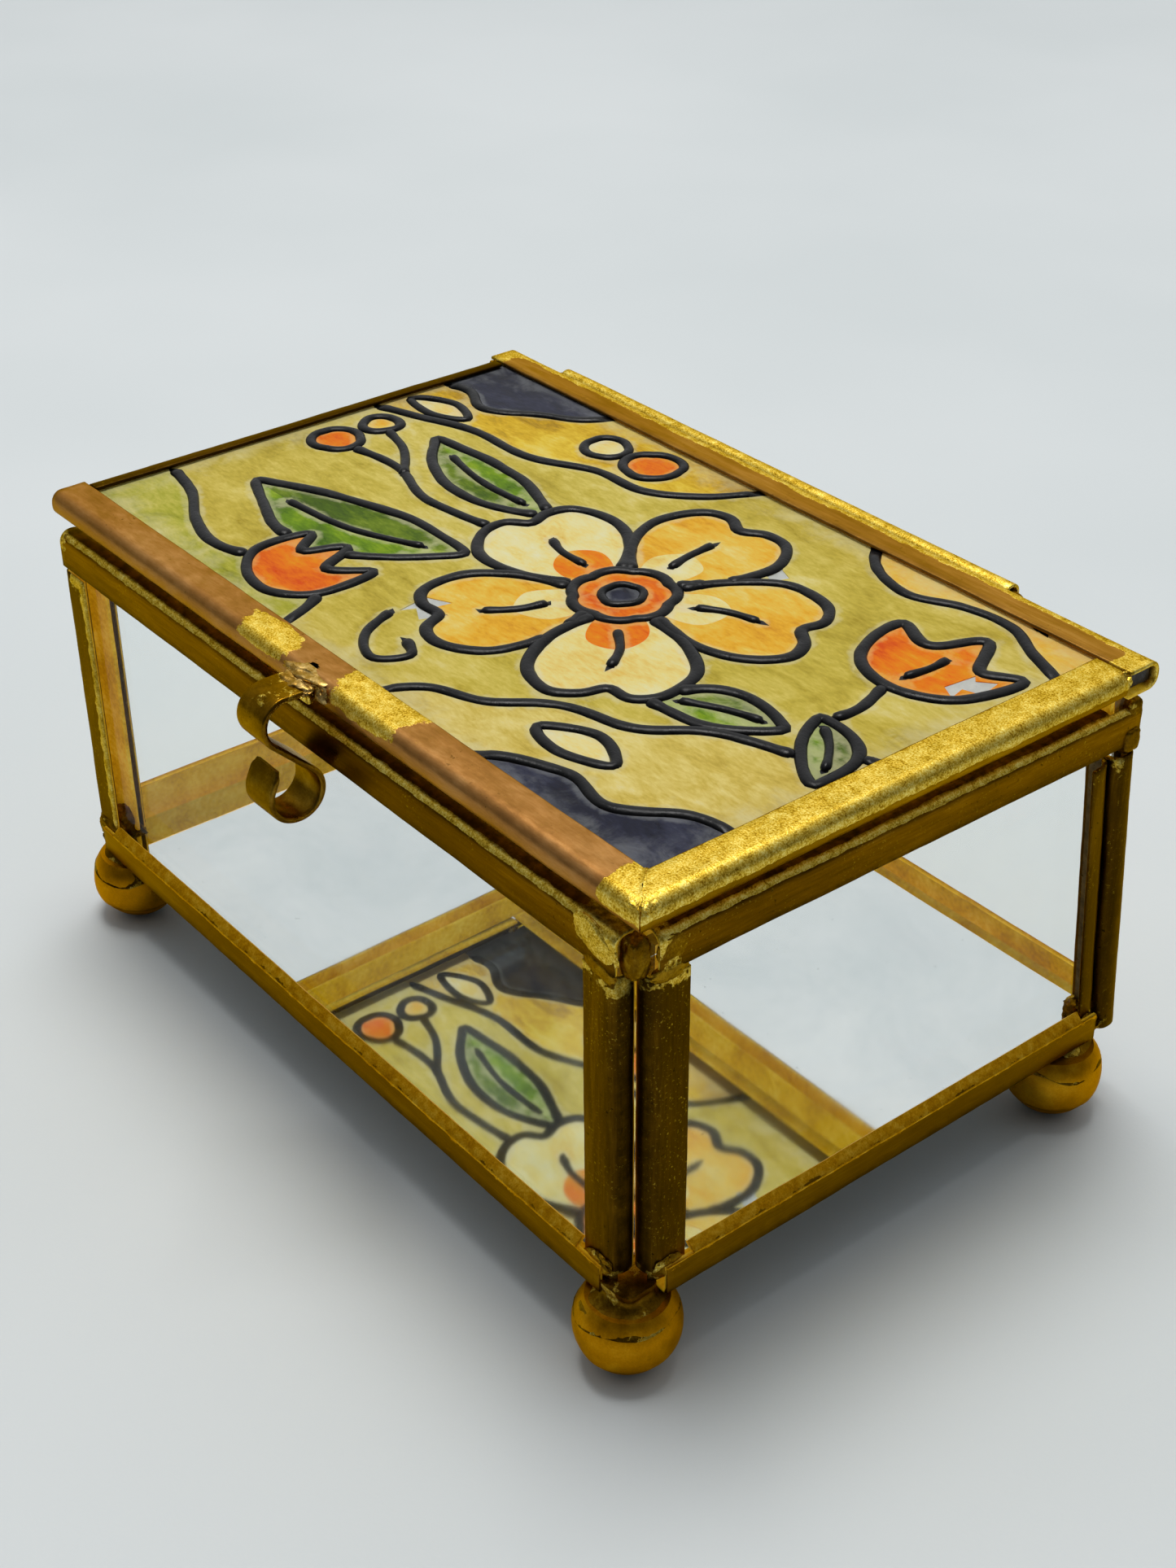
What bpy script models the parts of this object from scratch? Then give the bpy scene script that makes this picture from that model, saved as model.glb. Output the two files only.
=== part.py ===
"""Glass trinket box: four clear panes framed in folded brass channels, standing in a tray with
a mirror floor and ball feet, and a glass lid that swings on a wire pin along the back edge.

Lengths below are in millimetres. The box stands on z = 0, +X runs along its long side,
the catch is on the -Y side and the hinge on the +Y side.
"""
import math

import bmesh
import bpy
from mathutils import Matrix, Vector

MM = 0.001

# ---- folded brass channel ------------------------------------------------------------
SHEET = 0.40            # thickness of the folded sheet
CAME_T = 2.60           # outside thickness of a wall or lid channel
CAME_W = 3.70           # depth of a channel, from its web to the edge of its flanges
CAME_R = 1.15           # outside radius of the folded edges
GLASS_T = 1.30          # pane thickness
GAP = 0.30              # clearance between pieces that touch or are soldered

# ---- base: a folded tray that holds the mirror and the foot of each wall -----------------
BASE_X = 42.70          # outside of the tray from the middle, long direction
BASE_FRONT = 28.10      # outside of the tray in front of the middle
BASE_BACK = 30.90       # and behind it: the foot of the back wall stands further back
BASE_Z0 = 7.40          # underside of the tray
BASE_T = 3.00           # height of its upright side
LEFT_T = 5.00           # its left side stands higher
SHOULDER = 0.80         # above that the side is folded inward to the glass, this far in and up
BASE_R = 0.55           # folded edge radius of the tray
BASE_END_X = 39.20      # where the front and back tray rails stop
BASE_END_LEFT = 41.00   # the front one runs further at the left
BASE_END_FRONT = 24.00  # where the side tray rails stop
BASE_END_BACK = 26.60
TRIM_GAP = 0.30         # the shoulder stops this far short of the posts
MIRROR_T = 1.30
MIRROR_Z0 = 8.05
MIRROR_X = 41.10
MIRROR_FRONT = 26.50
MIRROR_BACK = 29.30
MIRROR_NOTCH_X = 38.60  # the mirror's corners are cut out beyond these lines
MIRROR_NOTCH_FRONT = 24.30
MIRROR_NOTCH_BACK = 26.80

# ---- walls ---------------------------------------------------------------------------
WALL_X = 42.00          # outer face of the side walls
WALL_Y = 27.40          # outer face of the front wall
WALL_TOP = 42.80        # top of the front rail
SIDE_TOP = 42.70        # top of the side rails at the front
SIDE_DROP = 0.60        # their fall from front to back
WALL_FOOT = 9.65        # lower edge of the wall frames, just above the mirror
POST_FOOT = 8.90        # lower end of the front posts' outer flange, past the mirror
FRONT_POST_X = 40.20    # web of the front wall's right post
FRONT_POST_LEFT = 43.20 # web of its left post: there the front wall runs past the side wall
LEFT_POST_W = 4.00
FRONT_RAIL_LEFT = 42.90
SIDE_POST_Y = 25.20     # web of the right wall's front post
LEFT_POST_Y = 24.50     # web of the left wall's front post, behind the front wall
LEFT_SIDE_W = 1.00

# ---- back wall: leans forward from its foot to fit under the lid -------------------------
BACK_FOOT_Y = 30.20     # outer face at the foot
BACK_FOOT_Z = 9.90
BACK_LEAN = 5.20        # degrees
BACK_H = 34.00          # height along the slope
BACK_POST_X = 42.30     # web of the back wall's posts
BACK_POST_W = 2.40
BACK_POST_DROP = 2.20   # how far these posts hang below the wall's foot
BACK_POST_H = 28.00
SIDE_BACK_POST_W = 2.20
BACK_PANE_X = 41.00
BACK_RAIL_X = 42.30
TAB = 0.60              # side of the side rails that laps over the end of the back wall
TAB_END = 27.70

# ---- feet ----------------------------------------------------------------------------
FOOT_R = 4.50
FOOT_FLAT_R = 1.50      # worn flat that the ball stands on
FOOT_TOP = BASE_Z0 - GAP
FEET = (("front_left", -39.90, -25.40), ("front_right", 40.10, -25.90),
        ("back_left", -40.30, 24.20), ("back_right", 40.30, 24.20))

# ---- lid -----------------------------------------------------------------------------
LID_X = 43.20
LID_Y = 27.50           # front edge of the lid
LID_BACK = 27.90        # back edge of the lid
LID_Z0 = 44.20
LID_LEFT_W = 2.00       # the left rail is cut from a shallower channel
LID_BACK_X0 = -43.60    # ends of the back rail
LID_BACK_X1 = 43.00

# ---- hinge ---------------------------------------------------------------------------
HINGE_R = 0.95          # tube outside radius
HINGE_BORE = 0.65
PIN_R = 0.40
HINGE_Y = LID_BACK + HINGE_R + GAP
HINGE_Z = 45.20
TUBE_X0 = -37.00
TUBE_X1 = 25.80
PIN_OVERRUN = 1.50      # how far past the tube the wire turns down
PIN_BEND = 1.20
PIN_FOOT_Z = 40.60
PIN_FOOT_Y = 28.15

# ---- catch ---------------------------------------------------------------------------
CATCH_X = 0.30          # middle of the strip
CATCH_W = 4.00
CATCH_T = 0.55
ROOT_A, ROOT_Z, ROOT_R = 0.55, 44.80, 0.70       # end soldered to the face of the lid's front rail
UPPER_A, UPPER_Z, UPPER_R = 2.80, 43.70, 2.20    # upper curl: reach, height, radius
LOWER_A, LOWER_Z, LOWER_R = 2.45, 36.80, 2.45    # lower curl
TIP_ANGLE = 26.0
TIP_LENGTH = 1.70

# The origin is under the middle of the whole box, catch and tray included.
FRONT_MOST = -LID_Y - UPPER_A - UPPER_R - CATCH_T / 2
BACK_MOST = BASE_BACK
ORIGIN_Y = -(FRONT_MOST + BACK_MOST) / 2

# ---- finishes: colour, roughness, metallic, transmission -------------------------------
AGED_BRASS = ((0.30, 0.19, 0.055), 0.42, 1.0, 0.0)
COPPER_BROWN = ((0.30, 0.17, 0.095), 0.48, 1.0, 0.0)
BRIGHT_BRASS = ((0.52, 0.36, 0.075), 0.36, 1.0, 0.0)
DARK_BRASS = ((0.17, 0.11, 0.035), 0.46, 1.0, 0.0)
WARM_BRASS = ((0.46, 0.28, 0.045), 0.38, 1.0, 0.0)
CLEAR_GLASS = ((0.93, 0.96, 0.95), 0.03, 0.0, 1.0)
SILVERED = ((0.86, 0.88, 0.87), 0.04, 1.0, 0.0)
LID_GLASS = ((0.52, 0.50, 0.20), 0.25, 0.0, 0.0)


for old in list(bpy.data.objects):
    bpy.data.objects.remove(old, do_unlink=True)


def empty(name, location, parent=None, lean=0.0):
    obj = bpy.data.objects.new(name, None)
    obj.empty_display_size = 0.004
    bpy.context.collection.objects.link(obj)
    obj.parent = parent
    obj.location = Vector(location) * MM
    obj.rotation_euler = (math.radians(lean), 0, 0)
    return obj


def finish_material(name, finish):
    colour, rough, metal, transmission = finish
    mat = bpy.data.materials.new(name + "_finish")
    mat.use_nodes = True
    bsdf = mat.node_tree.nodes["Principled BSDF"]
    bsdf.inputs["Base Color"].default_value = (*colour, 1.0)
    bsdf.inputs["Roughness"].default_value = rough
    bsdf.inputs["Metallic"].default_value = metal
    bsdf.inputs["Transmission Weight"].default_value = transmission
    return mat


def place(name, bm, finish, parent, location=(0, 0, 0), rotation=(0, 0, 0), angle=35):
    """Turn a bmesh built in millimetres into a named object."""
    bmesh.ops.recalc_face_normals(bm, faces=bm.faces)
    bmesh.ops.scale(bm, vec=(MM, MM, MM), verts=bm.verts)
    mesh = bpy.data.meshes.new(name)
    bm.to_mesh(mesh)
    bm.free()
    mesh.shade_smooth()
    mesh.set_sharp_from_angle(angle=math.radians(angle))
    obj = bpy.data.objects.new(name, mesh)
    bpy.context.collection.objects.link(obj)
    obj.parent = parent
    obj.location = Vector(location) * MM
    obj.rotation_euler = [math.radians(a) for a in rotation]
    obj.data.materials.append(finish_material(name, finish))
    return obj


def box(low, high):
    bm = bmesh.new()
    bmesh.ops.create_cube(bm, size=1.0)
    low, high = Vector(low), Vector(high)
    size = high - low
    for v in bm.verts:
        v.co = Vector([low[i] + (v.co[i] + 0.5) * size[i] for i in range(3)])
    return bm


def cut(target, name, low, high, parent):
    """Trim a piece with a box given in the box's own coordinates."""
    bm = box(low, high)
    bmesh.ops.recalc_face_normals(bm, faces=bm.faces)
    bmesh.ops.scale(bm, vec=(MM, MM, MM), verts=bm.verts)
    mesh = bpy.data.meshes.new(name)
    bm.to_mesh(mesh)
    bm.free()
    cutter = bpy.data.objects.new(name, mesh)
    bpy.context.collection.objects.link(cutter)
    cutter.parent = parent
    cutter.hide_render = True
    cutter.display_type = 'WIRE'
    mod = target.modifiers.new(name, 'BOOLEAN')
    mod.operation = 'DIFFERENCE'
    mod.solver = 'EXACT'
    mod.object = cutter


def u_profile(width, thick, radius, steps=5):
    """Closed outline of a folded channel: (depth from the web, height), opening at +depth."""
    def fold(inset, r):
        pts = [(width, inset)]
        for i in range(steps + 1):
            a = math.radians(270 - 90 * i / steps)
            pts.append((inset + r + r * math.cos(a), inset + r + r * math.sin(a)))
        for i in range(steps + 1):
            a = math.radians(180 - 90 * i / steps)
            pts.append((inset + r + r * math.cos(a), thick - inset - r + r * math.sin(a)))
        pts.append((width, thick - inset))
        return pts
    outer = fold(0.0, radius)
    inner = fold(SHEET, max(radius - SHEET, 0.12))
    return outer + inner[::-1]


def channel(x0, x1, width=CAME_W, thick=CAME_T, radius=CAME_R, mitre0=0.0, mitre1=0.0,
            segments=1, bend=None):
    """Folded channel along local X. Its web lies on local Y = 0 and it opens towards +Y.
    mitre0 and mitre1 shorten the ends by that much per millimetre of depth."""
    bm = bmesh.new()
    profile = u_profile(width, thick, radius)
    rings = []
    for s in range(segments + 1):
        f = s / segments
        ring = []
        for d, h in profile:
            x = (x0 + d * mitre0) * (1 - f) + (x1 - d * mitre1) * f
            dy = bend(x) if bend else 0.0
            ring.append(bm.verts.new((x, d + dy, h)))
        rings.append(ring)
    n = len(profile)
    for a, b in zip(rings, rings[1:]):
        for i in range(n):
            j = (i + 1) % n
            bm.faces.new((a[i], a[j], b[j], b[i]))
    bm.faces.new(rings[0])
    bm.faces.new(rings[-1][::-1])
    return bm


def tray_section(x0, x1, side=BASE_T):
    """Folded tray rail along local X: upright side on local Y = 0, lower flange towards +Y and
    a shoulder folded inward along the top."""
    fold = SHEET / math.sqrt(2)
    profile = [(SHOULDER, side + SHOULDER), (0.0, side)]
    for i in range(5):
        a = math.radians(180 + 90 * i / 4)
        profile.append((BASE_R + BASE_R * math.cos(a), BASE_R + BASE_R * math.sin(a)))
    profile += [(CAME_W, 0.0), (CAME_W, SHEET)]
    r = BASE_R - SHEET
    for i in range(5):
        a = math.radians(270 - 90 * i / 4)
        profile.append((BASE_R + r * math.cos(a), BASE_R + r * math.sin(a)))
    profile.append((SHEET, side + SHEET - 2 * fold))
    profile.append((SHOULDER + fold, side + SHOULDER - fold))
    bm = bmesh.new()
    rings = [[bm.verts.new((x, d, h)) for d, h in profile] for x in (x0, x1)]
    for i in range(len(profile)):
        j = (i + 1) % len(profile)
        bm.faces.new((rings[0][i], rings[0][j], rings[1][j], rings[1][i]))
    bm.faces.new(rings[0])
    bm.faces.new(rings[1][::-1])
    return bm


def angle_post(length, width, flip):
    """Upright angle: a web on local Y = 0 and one flange, at the far side or, flipped, at 0."""
    r = min(CAME_R, width - 0.15)
    inner = r - SHEET
    profile = [(0.0, 0.0)]
    for i in range(6):
        a = math.radians(180 - 18 * i)
        profile.append((r + r * math.cos(a), CAME_T - r + r * math.sin(a)))
    profile += [(width, CAME_T), (width, CAME_T - SHEET)]
    for i in range(6):
        a = math.radians(90 + 18 * i)
        profile.append((r + inner * math.cos(a), CAME_T - r + inner * math.sin(a)))
    profile.append((SHEET, 0.0))
    bm = bmesh.new()
    rings = [[bm.verts.new((x, d, CAME_T - h if flip else h)) for d, h in profile]
             for x in (0.0, length)]
    for i in range(len(profile)):
        j = (i + 1) % len(profile)
        bm.faces.new((rings[0][i], rings[0][j], rings[1][j], rings[1][i]))
    bm.faces.new(rings[0])
    bm.faces.new(rings[1][::-1])
    return bm


def slab(outline, x0, x1):
    """Flat pane across X whose outline is given as (y, z)."""
    bm = bmesh.new()
    face = bm.faces.new([bm.verts.new((x0, y, z)) for y, z in outline])
    lifted = bmesh.ops.extrude_face_region(bm, geom=[face])
    for v in [g for g in lifted["geom"] if isinstance(g, bmesh.types.BMVert)]:
        v.co.x = x1
    return bm


def turned(profile, steps=32):
    """Solid of revolution about Z. The profile starts and ends on the axis."""
    bm = bmesh.new()
    rings = []
    for r, z in profile:
        if r < 1e-6:
            rings.append([bm.verts.new((0, 0, z))])
        else:
            rings.append([bm.verts.new((r * math.cos(2 * math.pi * k / steps),
                                        r * math.sin(2 * math.pi * k / steps), z))
                          for k in range(steps)])
    for a, b in zip(rings, rings[1:]):
        for k in range(steps):
            m = (k + 1) % steps
            if len(a) == 1:
                bm.faces.new((a[0], b[k], b[m]))
            elif len(b) == 1:
                bm.faces.new((a[k], a[m], b[0]))
            else:
                bm.faces.new((a[k], a[m], b[m], b[k]))
    return bm


def strip(path, width, thick):
    """Flat strip of constant section that follows a path in the YZ plane."""
    bm = bmesh.new()
    rings = []
    for i, p in enumerate(path):
        before = path[max(i - 1, 0)]
        after = path[min(i + 1, len(path) - 1)]
        t = Vector((after[0] - before[0], after[1] - before[1])).normalized()
        n = Vector((-t.y, t.x)) * thick / 2
        ring = []
        for side, edge in ((-1, -1), (1, -1), (1, 1), (-1, 1)):
            ring.append(bm.verts.new((side * width / 2, p[0] + edge * n.x, p[1] + edge * n.y)))
        rings.append(ring)
    for a, b in zip(rings, rings[1:]):
        for i in range(4):
            j = (i + 1) % 4
            bm.faces.new((a[i], a[j], b[j], b[i]))
    bm.faces.new(rings[0])
    bm.faces.new(rings[-1][::-1])
    return bm


def fillet(before, corner, after, radius, steps=7):
    """Points of an arc that rounds a corner between two straight runs."""
    before, corner, after = Vector(before), Vector(corner), Vector(after)
    u = (before - corner).normalized()
    w = (after - corner).normalized()
    half = u.angle(w) / 2
    start = corner + u * (radius / math.tan(half))
    centre = corner + (u + w).normalized() * (radius / math.sin(half))
    axis = (start - centre).cross(corner - centre).normalized()
    sweep = math.pi - 2 * half
    return [centre + Matrix.Rotation(sweep * i / steps, 3, axis) @ (start - centre)
            for i in range(steps + 1)]


base = empty("box_origin", (0, ORIGIN_Y, 0))
lid = empty("lid_axis", (0, HINGE_Y, HINGE_Z), base)
back_wall = empty("back_wall_foot", (0, BACK_FOOT_Y, BACK_FOOT_Z), base, BACK_LEAN)
LEAN = math.radians(BACK_LEAN)


def behind(depth, z):
    """Where a line at this depth inside the leaning back wall stands at height z."""
    up = (z - BACK_FOOT_Z + depth * math.sin(LEAN)) / math.cos(LEAN)
    return BACK_FOOT_Y - depth * math.cos(LEAN) - up * math.sin(LEAN)


# ---- tray and mirror -------------------------------------------------------------------
front = place("base_rail_front", tray_section(-BASE_END_LEFT, BASE_END_X), WARM_BRASS, base,
              (0, -BASE_FRONT, BASE_Z0))
place("base_rail_back", tray_section(-BASE_END_X + 0.6, BASE_END_X - 0.6), WARM_BRASS, base,
      (0, BASE_BACK, BASE_Z0), (0, 0, 180))
right = place("base_rail_right", tray_section(-BASE_END_FRONT, BASE_END_BACK), WARM_BRASS, base,
              (BASE_X, 0, BASE_Z0), (0, 0, 90))
left = place("base_rail_left", tray_section(-BASE_END_BACK, BASE_END_FRONT, LEFT_T), WARM_BRASS, base,
             (-BASE_X, 0, BASE_Z0), (0, 0, -90))

# The shoulder is trimmed off beside the posts, where only the upright side goes on.
TRIM_Z0, TRIM_Z1 = BASE_Z0 + 1.2, BASE_Z0 + LEFT_T + 2
back_trim = behind(CAME_T + GAP + SIDE_BACK_POST_W, BASE_Z0 + BASE_T + SHOULDER) - TRIM_GAP
for name, x0, x1 in (("right", FRONT_POST_X - CAME_W - TRIM_GAP, BASE_END_X + 1),
                     ("left", -BASE_END_LEFT - 1, -FRONT_POST_LEFT + LEFT_POST_W + TRIM_GAP)):
    cut(front, "front_trim_" + name, (x0, -BASE_FRONT + SHEET, TRIM_Z0),
        (x1, -BASE_FRONT + 3, TRIM_Z1), base)
    cut(front, "front_tip_" + name, (x0, -BASE_FRONT - 1, BASE_Z0 + BASE_T),
        (x1, -BASE_FRONT + SHEET + 0.1, TRIM_Z1), base)
for side, rail, post_y, post_w in ((1, right, SIDE_POST_Y, CAME_W), (-1, left, LEFT_POST_Y, LEFT_SIDE_W)):
    for end, y0, y1 in (("front", -BASE_END_FRONT - 1, -post_y + post_w + TRIM_GAP),
                        ("back", back_trim, BASE_END_BACK + 1)):
        tag = ("right" if side > 0 else "left") + "_" + end
        xs = sorted((side * (BASE_X - SHEET), side * (BASE_X - 3)))
        cut(rail, "side_trim_" + tag, (xs[0], y0, TRIM_Z0), (xs[1], y1, TRIM_Z1), base)
        xs = sorted((side * (BASE_X - SHEET - 0.1), side * (BASE_X + 1)))
        cut(rail, "side_tip_" + tag, (xs[0], y0, BASE_Z0 + BASE_T), (xs[1], y1, TRIM_Z1), base)

outline = []
for sx, sy in ((1, -1), (1, 1), (-1, 1), (-1, -1)):
    reach = -MIRROR_FRONT if sy < 0 else MIRROR_BACK
    notch = -MIRROR_NOTCH_FRONT if sy < 0 else MIRROR_NOTCH_BACK
    corner = [(sx * MIRROR_NOTCH_X, reach), (sx * MIRROR_NOTCH_X, notch), (sx * MIRROR_X, notch)]
    outline += corner if sx * sy < 0 else corner[::-1]
bm = bmesh.new()
face = bm.faces.new([bm.verts.new((x, y, MIRROR_Z0)) for x, y in outline])
lifted = bmesh.ops.extrude_face_region(bm, geom=[face])
for v in [g for g in lifted["geom"] if isinstance(g, bmesh.types.BMVert)]:
    v.co.z += MIRROR_T
place("base_mirror", bm, SILVERED, base)


# ---- feet ------------------------------------------------------------------------------
foot_centre = math.sqrt(FOOT_R ** 2 - FOOT_FLAT_R ** 2)
low_angle = math.asin(-foot_centre / FOOT_R)
high_angle = math.asin((FOOT_TOP - foot_centre) / FOOT_R)
FOOT_STEPS = 14
foot_profile = [(0.0, 0.0)]
for i in range(FOOT_STEPS + 1):
    a = low_angle + (high_angle - low_angle) * i / FOOT_STEPS
    foot_profile.append((FOOT_R * math.cos(a), foot_centre + FOOT_R * math.sin(a)))
foot_profile.append((0.0, FOOT_TOP))
for where, x, y in FEET:
    place(f"foot_{where}", turned(foot_profile), WARM_BRASS, base, (x, y, 0))


# ---- panes -----------------------------------------------------------------------------
FRONT_PANE_TOP = WALL_TOP - SHEET - GAP
SIDE_PANE_TOP = SIDE_TOP - SIDE_DROP - SHEET - GAP
EDGE = SHEET + GAP
inset = (CAME_T - GLASS_T) / 2
place("front_glass", box((-FRONT_POST_LEFT + EDGE, -WALL_Y + inset, WALL_FOOT),
                         (FRONT_POST_X - EDGE, -WALL_Y + inset + GLASS_T, FRONT_PANE_TOP)),
      CLEAR_GLASS, base)
place("back_glass", box((-BACK_PANE_X, -inset - GLASS_T, 0.0),
                        (BACK_PANE_X, -inset, BACK_H - EDGE)), CLEAR_GLASS, back_wall)
side_depth = CAME_T + GAP + EDGE
for sx, side in ((-1, "left"), (1, "right")):
    y0 = EDGE - (SIDE_POST_Y if sx > 0 else LEFT_POST_Y)
    place(f"{side}_glass", slab([(y0, WALL_FOOT), (behind(side_depth, WALL_FOOT), WALL_FOOT),
                                 (behind(side_depth, SIDE_PANE_TOP), SIDE_PANE_TOP),
                                 (y0, SIDE_PANE_TOP)],
                                sx * (WALL_X - inset), sx * (WALL_X - inset - GLASS_T)),
          CLEAR_GLASS, base)


# ---- top rails of the walls --------------------------------------------------------------
place("front_top_rail", channel(-FRONT_RAIL_LEFT, FRONT_POST_X), AGED_BRASS, base,
      (0, -WALL_Y, WALL_TOP), (-90, 0, 0))

SIDE_RAIL_Y0 = -WALL_Y + CAME_T + GAP


def side_drop(y):
    return SIDE_DROP * (y - SIDE_RAIL_Y0) / (TAB_END - SIDE_RAIL_Y0)


right_rail = place("right_top_rail", channel(SIDE_RAIL_Y0, TAB_END, bend=side_drop), AGED_BRASS,
                   base, (WALL_X, 0, SIDE_TOP), (-90, 0, 90))
left_rail = place("left_top_rail", channel(-TAB_END, -SIDE_RAIL_Y0, bend=lambda x: side_drop(-x)),
                  AGED_BRASS, base, (-WALL_X, 0, SIDE_TOP), (-90, 0, -90))
# Past the back wall only their outer flange goes on, as a tab over the end of that wall.
tab_start = behind(CAME_T + GAP, SIDE_TOP)
for sx, rail in ((-1, left_rail), (1, right_rail)):
    xs = sorted((sx * (WALL_X - TAB), sx * (WALL_X - CAME_T - 1)))
    cut(rail, "rail_tab_" + ("left" if sx < 0 else "right"),
        (xs[0], tab_start, SIDE_TOP - CAME_W - SIDE_DROP - 1),
        (xs[1], TAB_END + 1, SIDE_TOP + 1), base)

back_rail = place("back_top_rail", channel(-BACK_RAIL_X, BACK_RAIL_X), AGED_BRASS, back_wall,
                  (0, 0, BACK_H), (-90, 0, 180))
# The back rail is notched at both ends and lies over the tabs of the side rails.
notch_x = WALL_X - TAB - GAP
notch_z = (SIDE_TOP - side_drop(tab_start) + GAP - BACK_FOOT_Z + CAME_T * math.sin(LEAN)) / math.cos(LEAN)
for sx in (-1, 1):
    xs = sorted((sx * notch_x, sx * (WALL_X + 3)))
    cut(back_rail, "back_notch_" + ("left" if sx < 0 else "right"),
        (xs[0], -CAME_T - 1, BACK_H - CAME_W - 1), (xs[1], 1, notch_z), back_wall)


# ---- corner posts ------------------------------------------------------------------------
def post(name, web, inner_side, foot, top, x_dir=None, y_dir=None, width=CAME_W, parent=base,
         angle=False):
    """Upright channel, or an angle with an outer flange only. x_dir or y_dir is the way its web
    faces; web is the web's place on that axis, and inner_side where the section starts on the
    other axis."""
    starts_outside = abs(inner_side) > WALL_X - SHEET
    bm = angle_post(top - foot, width, starts_outside) if angle else channel(0, top - foot, width)
    if x_dir:
        columns = (Vector((0, 0, 1)), Vector((-x_dir, 0, 0)), Vector((0, -x_dir, 0)))
        origin = Vector((web, inner_side, foot))
    else:
        columns = (Vector((0, 0, 1)), Vector((0, -y_dir, 0)), Vector((y_dir, 0, 0)))
        origin = Vector((inner_side, web, foot))
    turn = Matrix(columns).transposed()
    rot = [math.degrees(a) for a in turn.to_euler()]
    return place(name, bm, DARK_BRASS, parent, origin, rot)


POST_TOP = WALL_TOP - CAME_W - GAP
KEEP = 0.55             # outer part of a front post that reaches down past the mirror
CUT_Z0 = POST_FOOT - 1
for sx, side in ((-1, "left"), (1, "right")):
    # front wall: webs face outward along X
    web = FRONT_POST_X if sx > 0 else FRONT_POST_LEFT
    p = post(f"front_post_{side}", sx * web, (-WALL_Y + CAME_T) if sx > 0 else -WALL_Y,
             POST_FOOT, POST_TOP, x_dir=sx, width=CAME_W if sx > 0 else LEFT_POST_W)
    xs = sorted((sx * (web + 1), sx * (web - CAME_W - 1)))
    cut(p, f"front_post_foot_{side}", (xs[0], -WALL_Y + KEEP, CUT_Z0),
        (xs[1], -WALL_Y + CAME_T + 1, WALL_FOOT), base)

    # side wall, front end: web faces the front
    web = SIDE_POST_Y if sx > 0 else LEFT_POST_Y
    width = CAME_W if sx > 0 else LEFT_SIDE_W
    p = post(f"{side}_post_front", -web, sx * WALL_X if sx > 0 else -WALL_X + CAME_T, POST_FOOT,
             SIDE_TOP - CAME_W - GAP - side_drop(-web + width), y_dir=-1, width=width, angle=sx < 0)
    xs = sorted((sx * (WALL_X - KEEP), sx * (WALL_X - CAME_T - 1)))
    cut(p, f"{side}_post_front_foot", (xs[0], -web - 1, CUT_Z0),
        (xs[1], -web + CAME_W + 1, WALL_FOOT), base)

    # side wall, back end: web lies against the leaning back wall
    post(f"{side}_post_back", -CAME_T - GAP, (WALL_X - CAME_T) if sx > 0 else -WALL_X, 0.25,
         BACK_POST_H, y_dir=1, width=SIDE_BACK_POST_W, parent=back_wall, angle=True)

    # back wall: webs face outward along X and hang past the tray
    post(f"back_post_{side}", sx * BACK_POST_X, 0.0 if sx > 0 else -CAME_T, -BACK_POST_DROP,
         BACK_POST_H, x_dir=sx, width=BACK_POST_W, parent=back_wall)


# ---- hinge pin ---------------------------------------------------------------------------
left_x = TUBE_X0 - PIN_OVERRUN
right_x = TUBE_X1 + PIN_OVERRUN
foot_l = (left_x, PIN_FOOT_Y, PIN_FOOT_Z)
foot_r = (right_x, PIN_FOOT_Y, PIN_FOOT_Z)
top_l = (left_x, HINGE_Y, HINGE_Z)
top_r = (right_x, HINGE_Y, HINGE_Z)
route = [Vector(foot_l)] + fillet(foot_l, top_l, top_r, PIN_BEND)
route += fillet(top_l, top_r, foot_r, PIN_BEND) + [Vector(foot_r)]
wire = bpy.data.curves.new("hinge_pin", 'CURVE')
wire.dimensions = '3D'
wire.bevel_depth = PIN_R * MM
wire.bevel_resolution = 2
wire.use_fill_caps = True
spline = wire.splines.new('POLY')
spline.points.add(len(route) - 1)
for point, co in zip(spline.points, route):
    point.co = (co.x * MM, co.y * MM, co.z * MM, 1.0)
pin = bpy.data.objects.new("hinge_pin", wire)
bpy.context.collection.objects.link(pin)
pin.parent = base
wire.materials.append(finish_material("hinge_pin", DARK_BRASS))


# ---- lid: everything here hangs from the hinge axis ---------------------------------------
def on_lid(x, y, z):
    return (x, y - HINGE_Y, z - HINGE_Z)


half_gap = GAP / math.sqrt(2)
place("lid_rail_front", channel(-LID_X + half_gap, LID_X - half_gap, mitre0=1, mitre1=1),
      COPPER_BROWN, lid, on_lid(0, -LID_Y, LID_Z0))
side_end = LID_BACK - CAME_W - GAP
place("lid_rail_right", channel(-LID_Y + half_gap, side_end, mitre0=1), BRIGHT_BRASS, lid,
      on_lid(LID_X, 0, LID_Z0), (0, 0, 90))
place("lid_rail_left", channel(-side_end, LID_Y - half_gap, LID_LEFT_W, mitre1=1), AGED_BRASS, lid,
      on_lid(-LID_X, 0, LID_Z0), (0, 0, -90))
place("lid_rail_back", channel(-LID_BACK_X1, -LID_BACK_X0), AGED_BRASS, lid,
      on_lid(0, LID_BACK, LID_Z0), (0, 0, 180))

pane_x = LID_X - EDGE
pane_z = LID_Z0 + (CAME_T - GLASS_T) / 2
place("lid_glass", box(on_lid(-pane_x, -LID_Y + EDGE, pane_z),
                       on_lid(pane_x, LID_BACK - EDGE, pane_z + GLASS_T)), LID_GLASS, lid)

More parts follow.
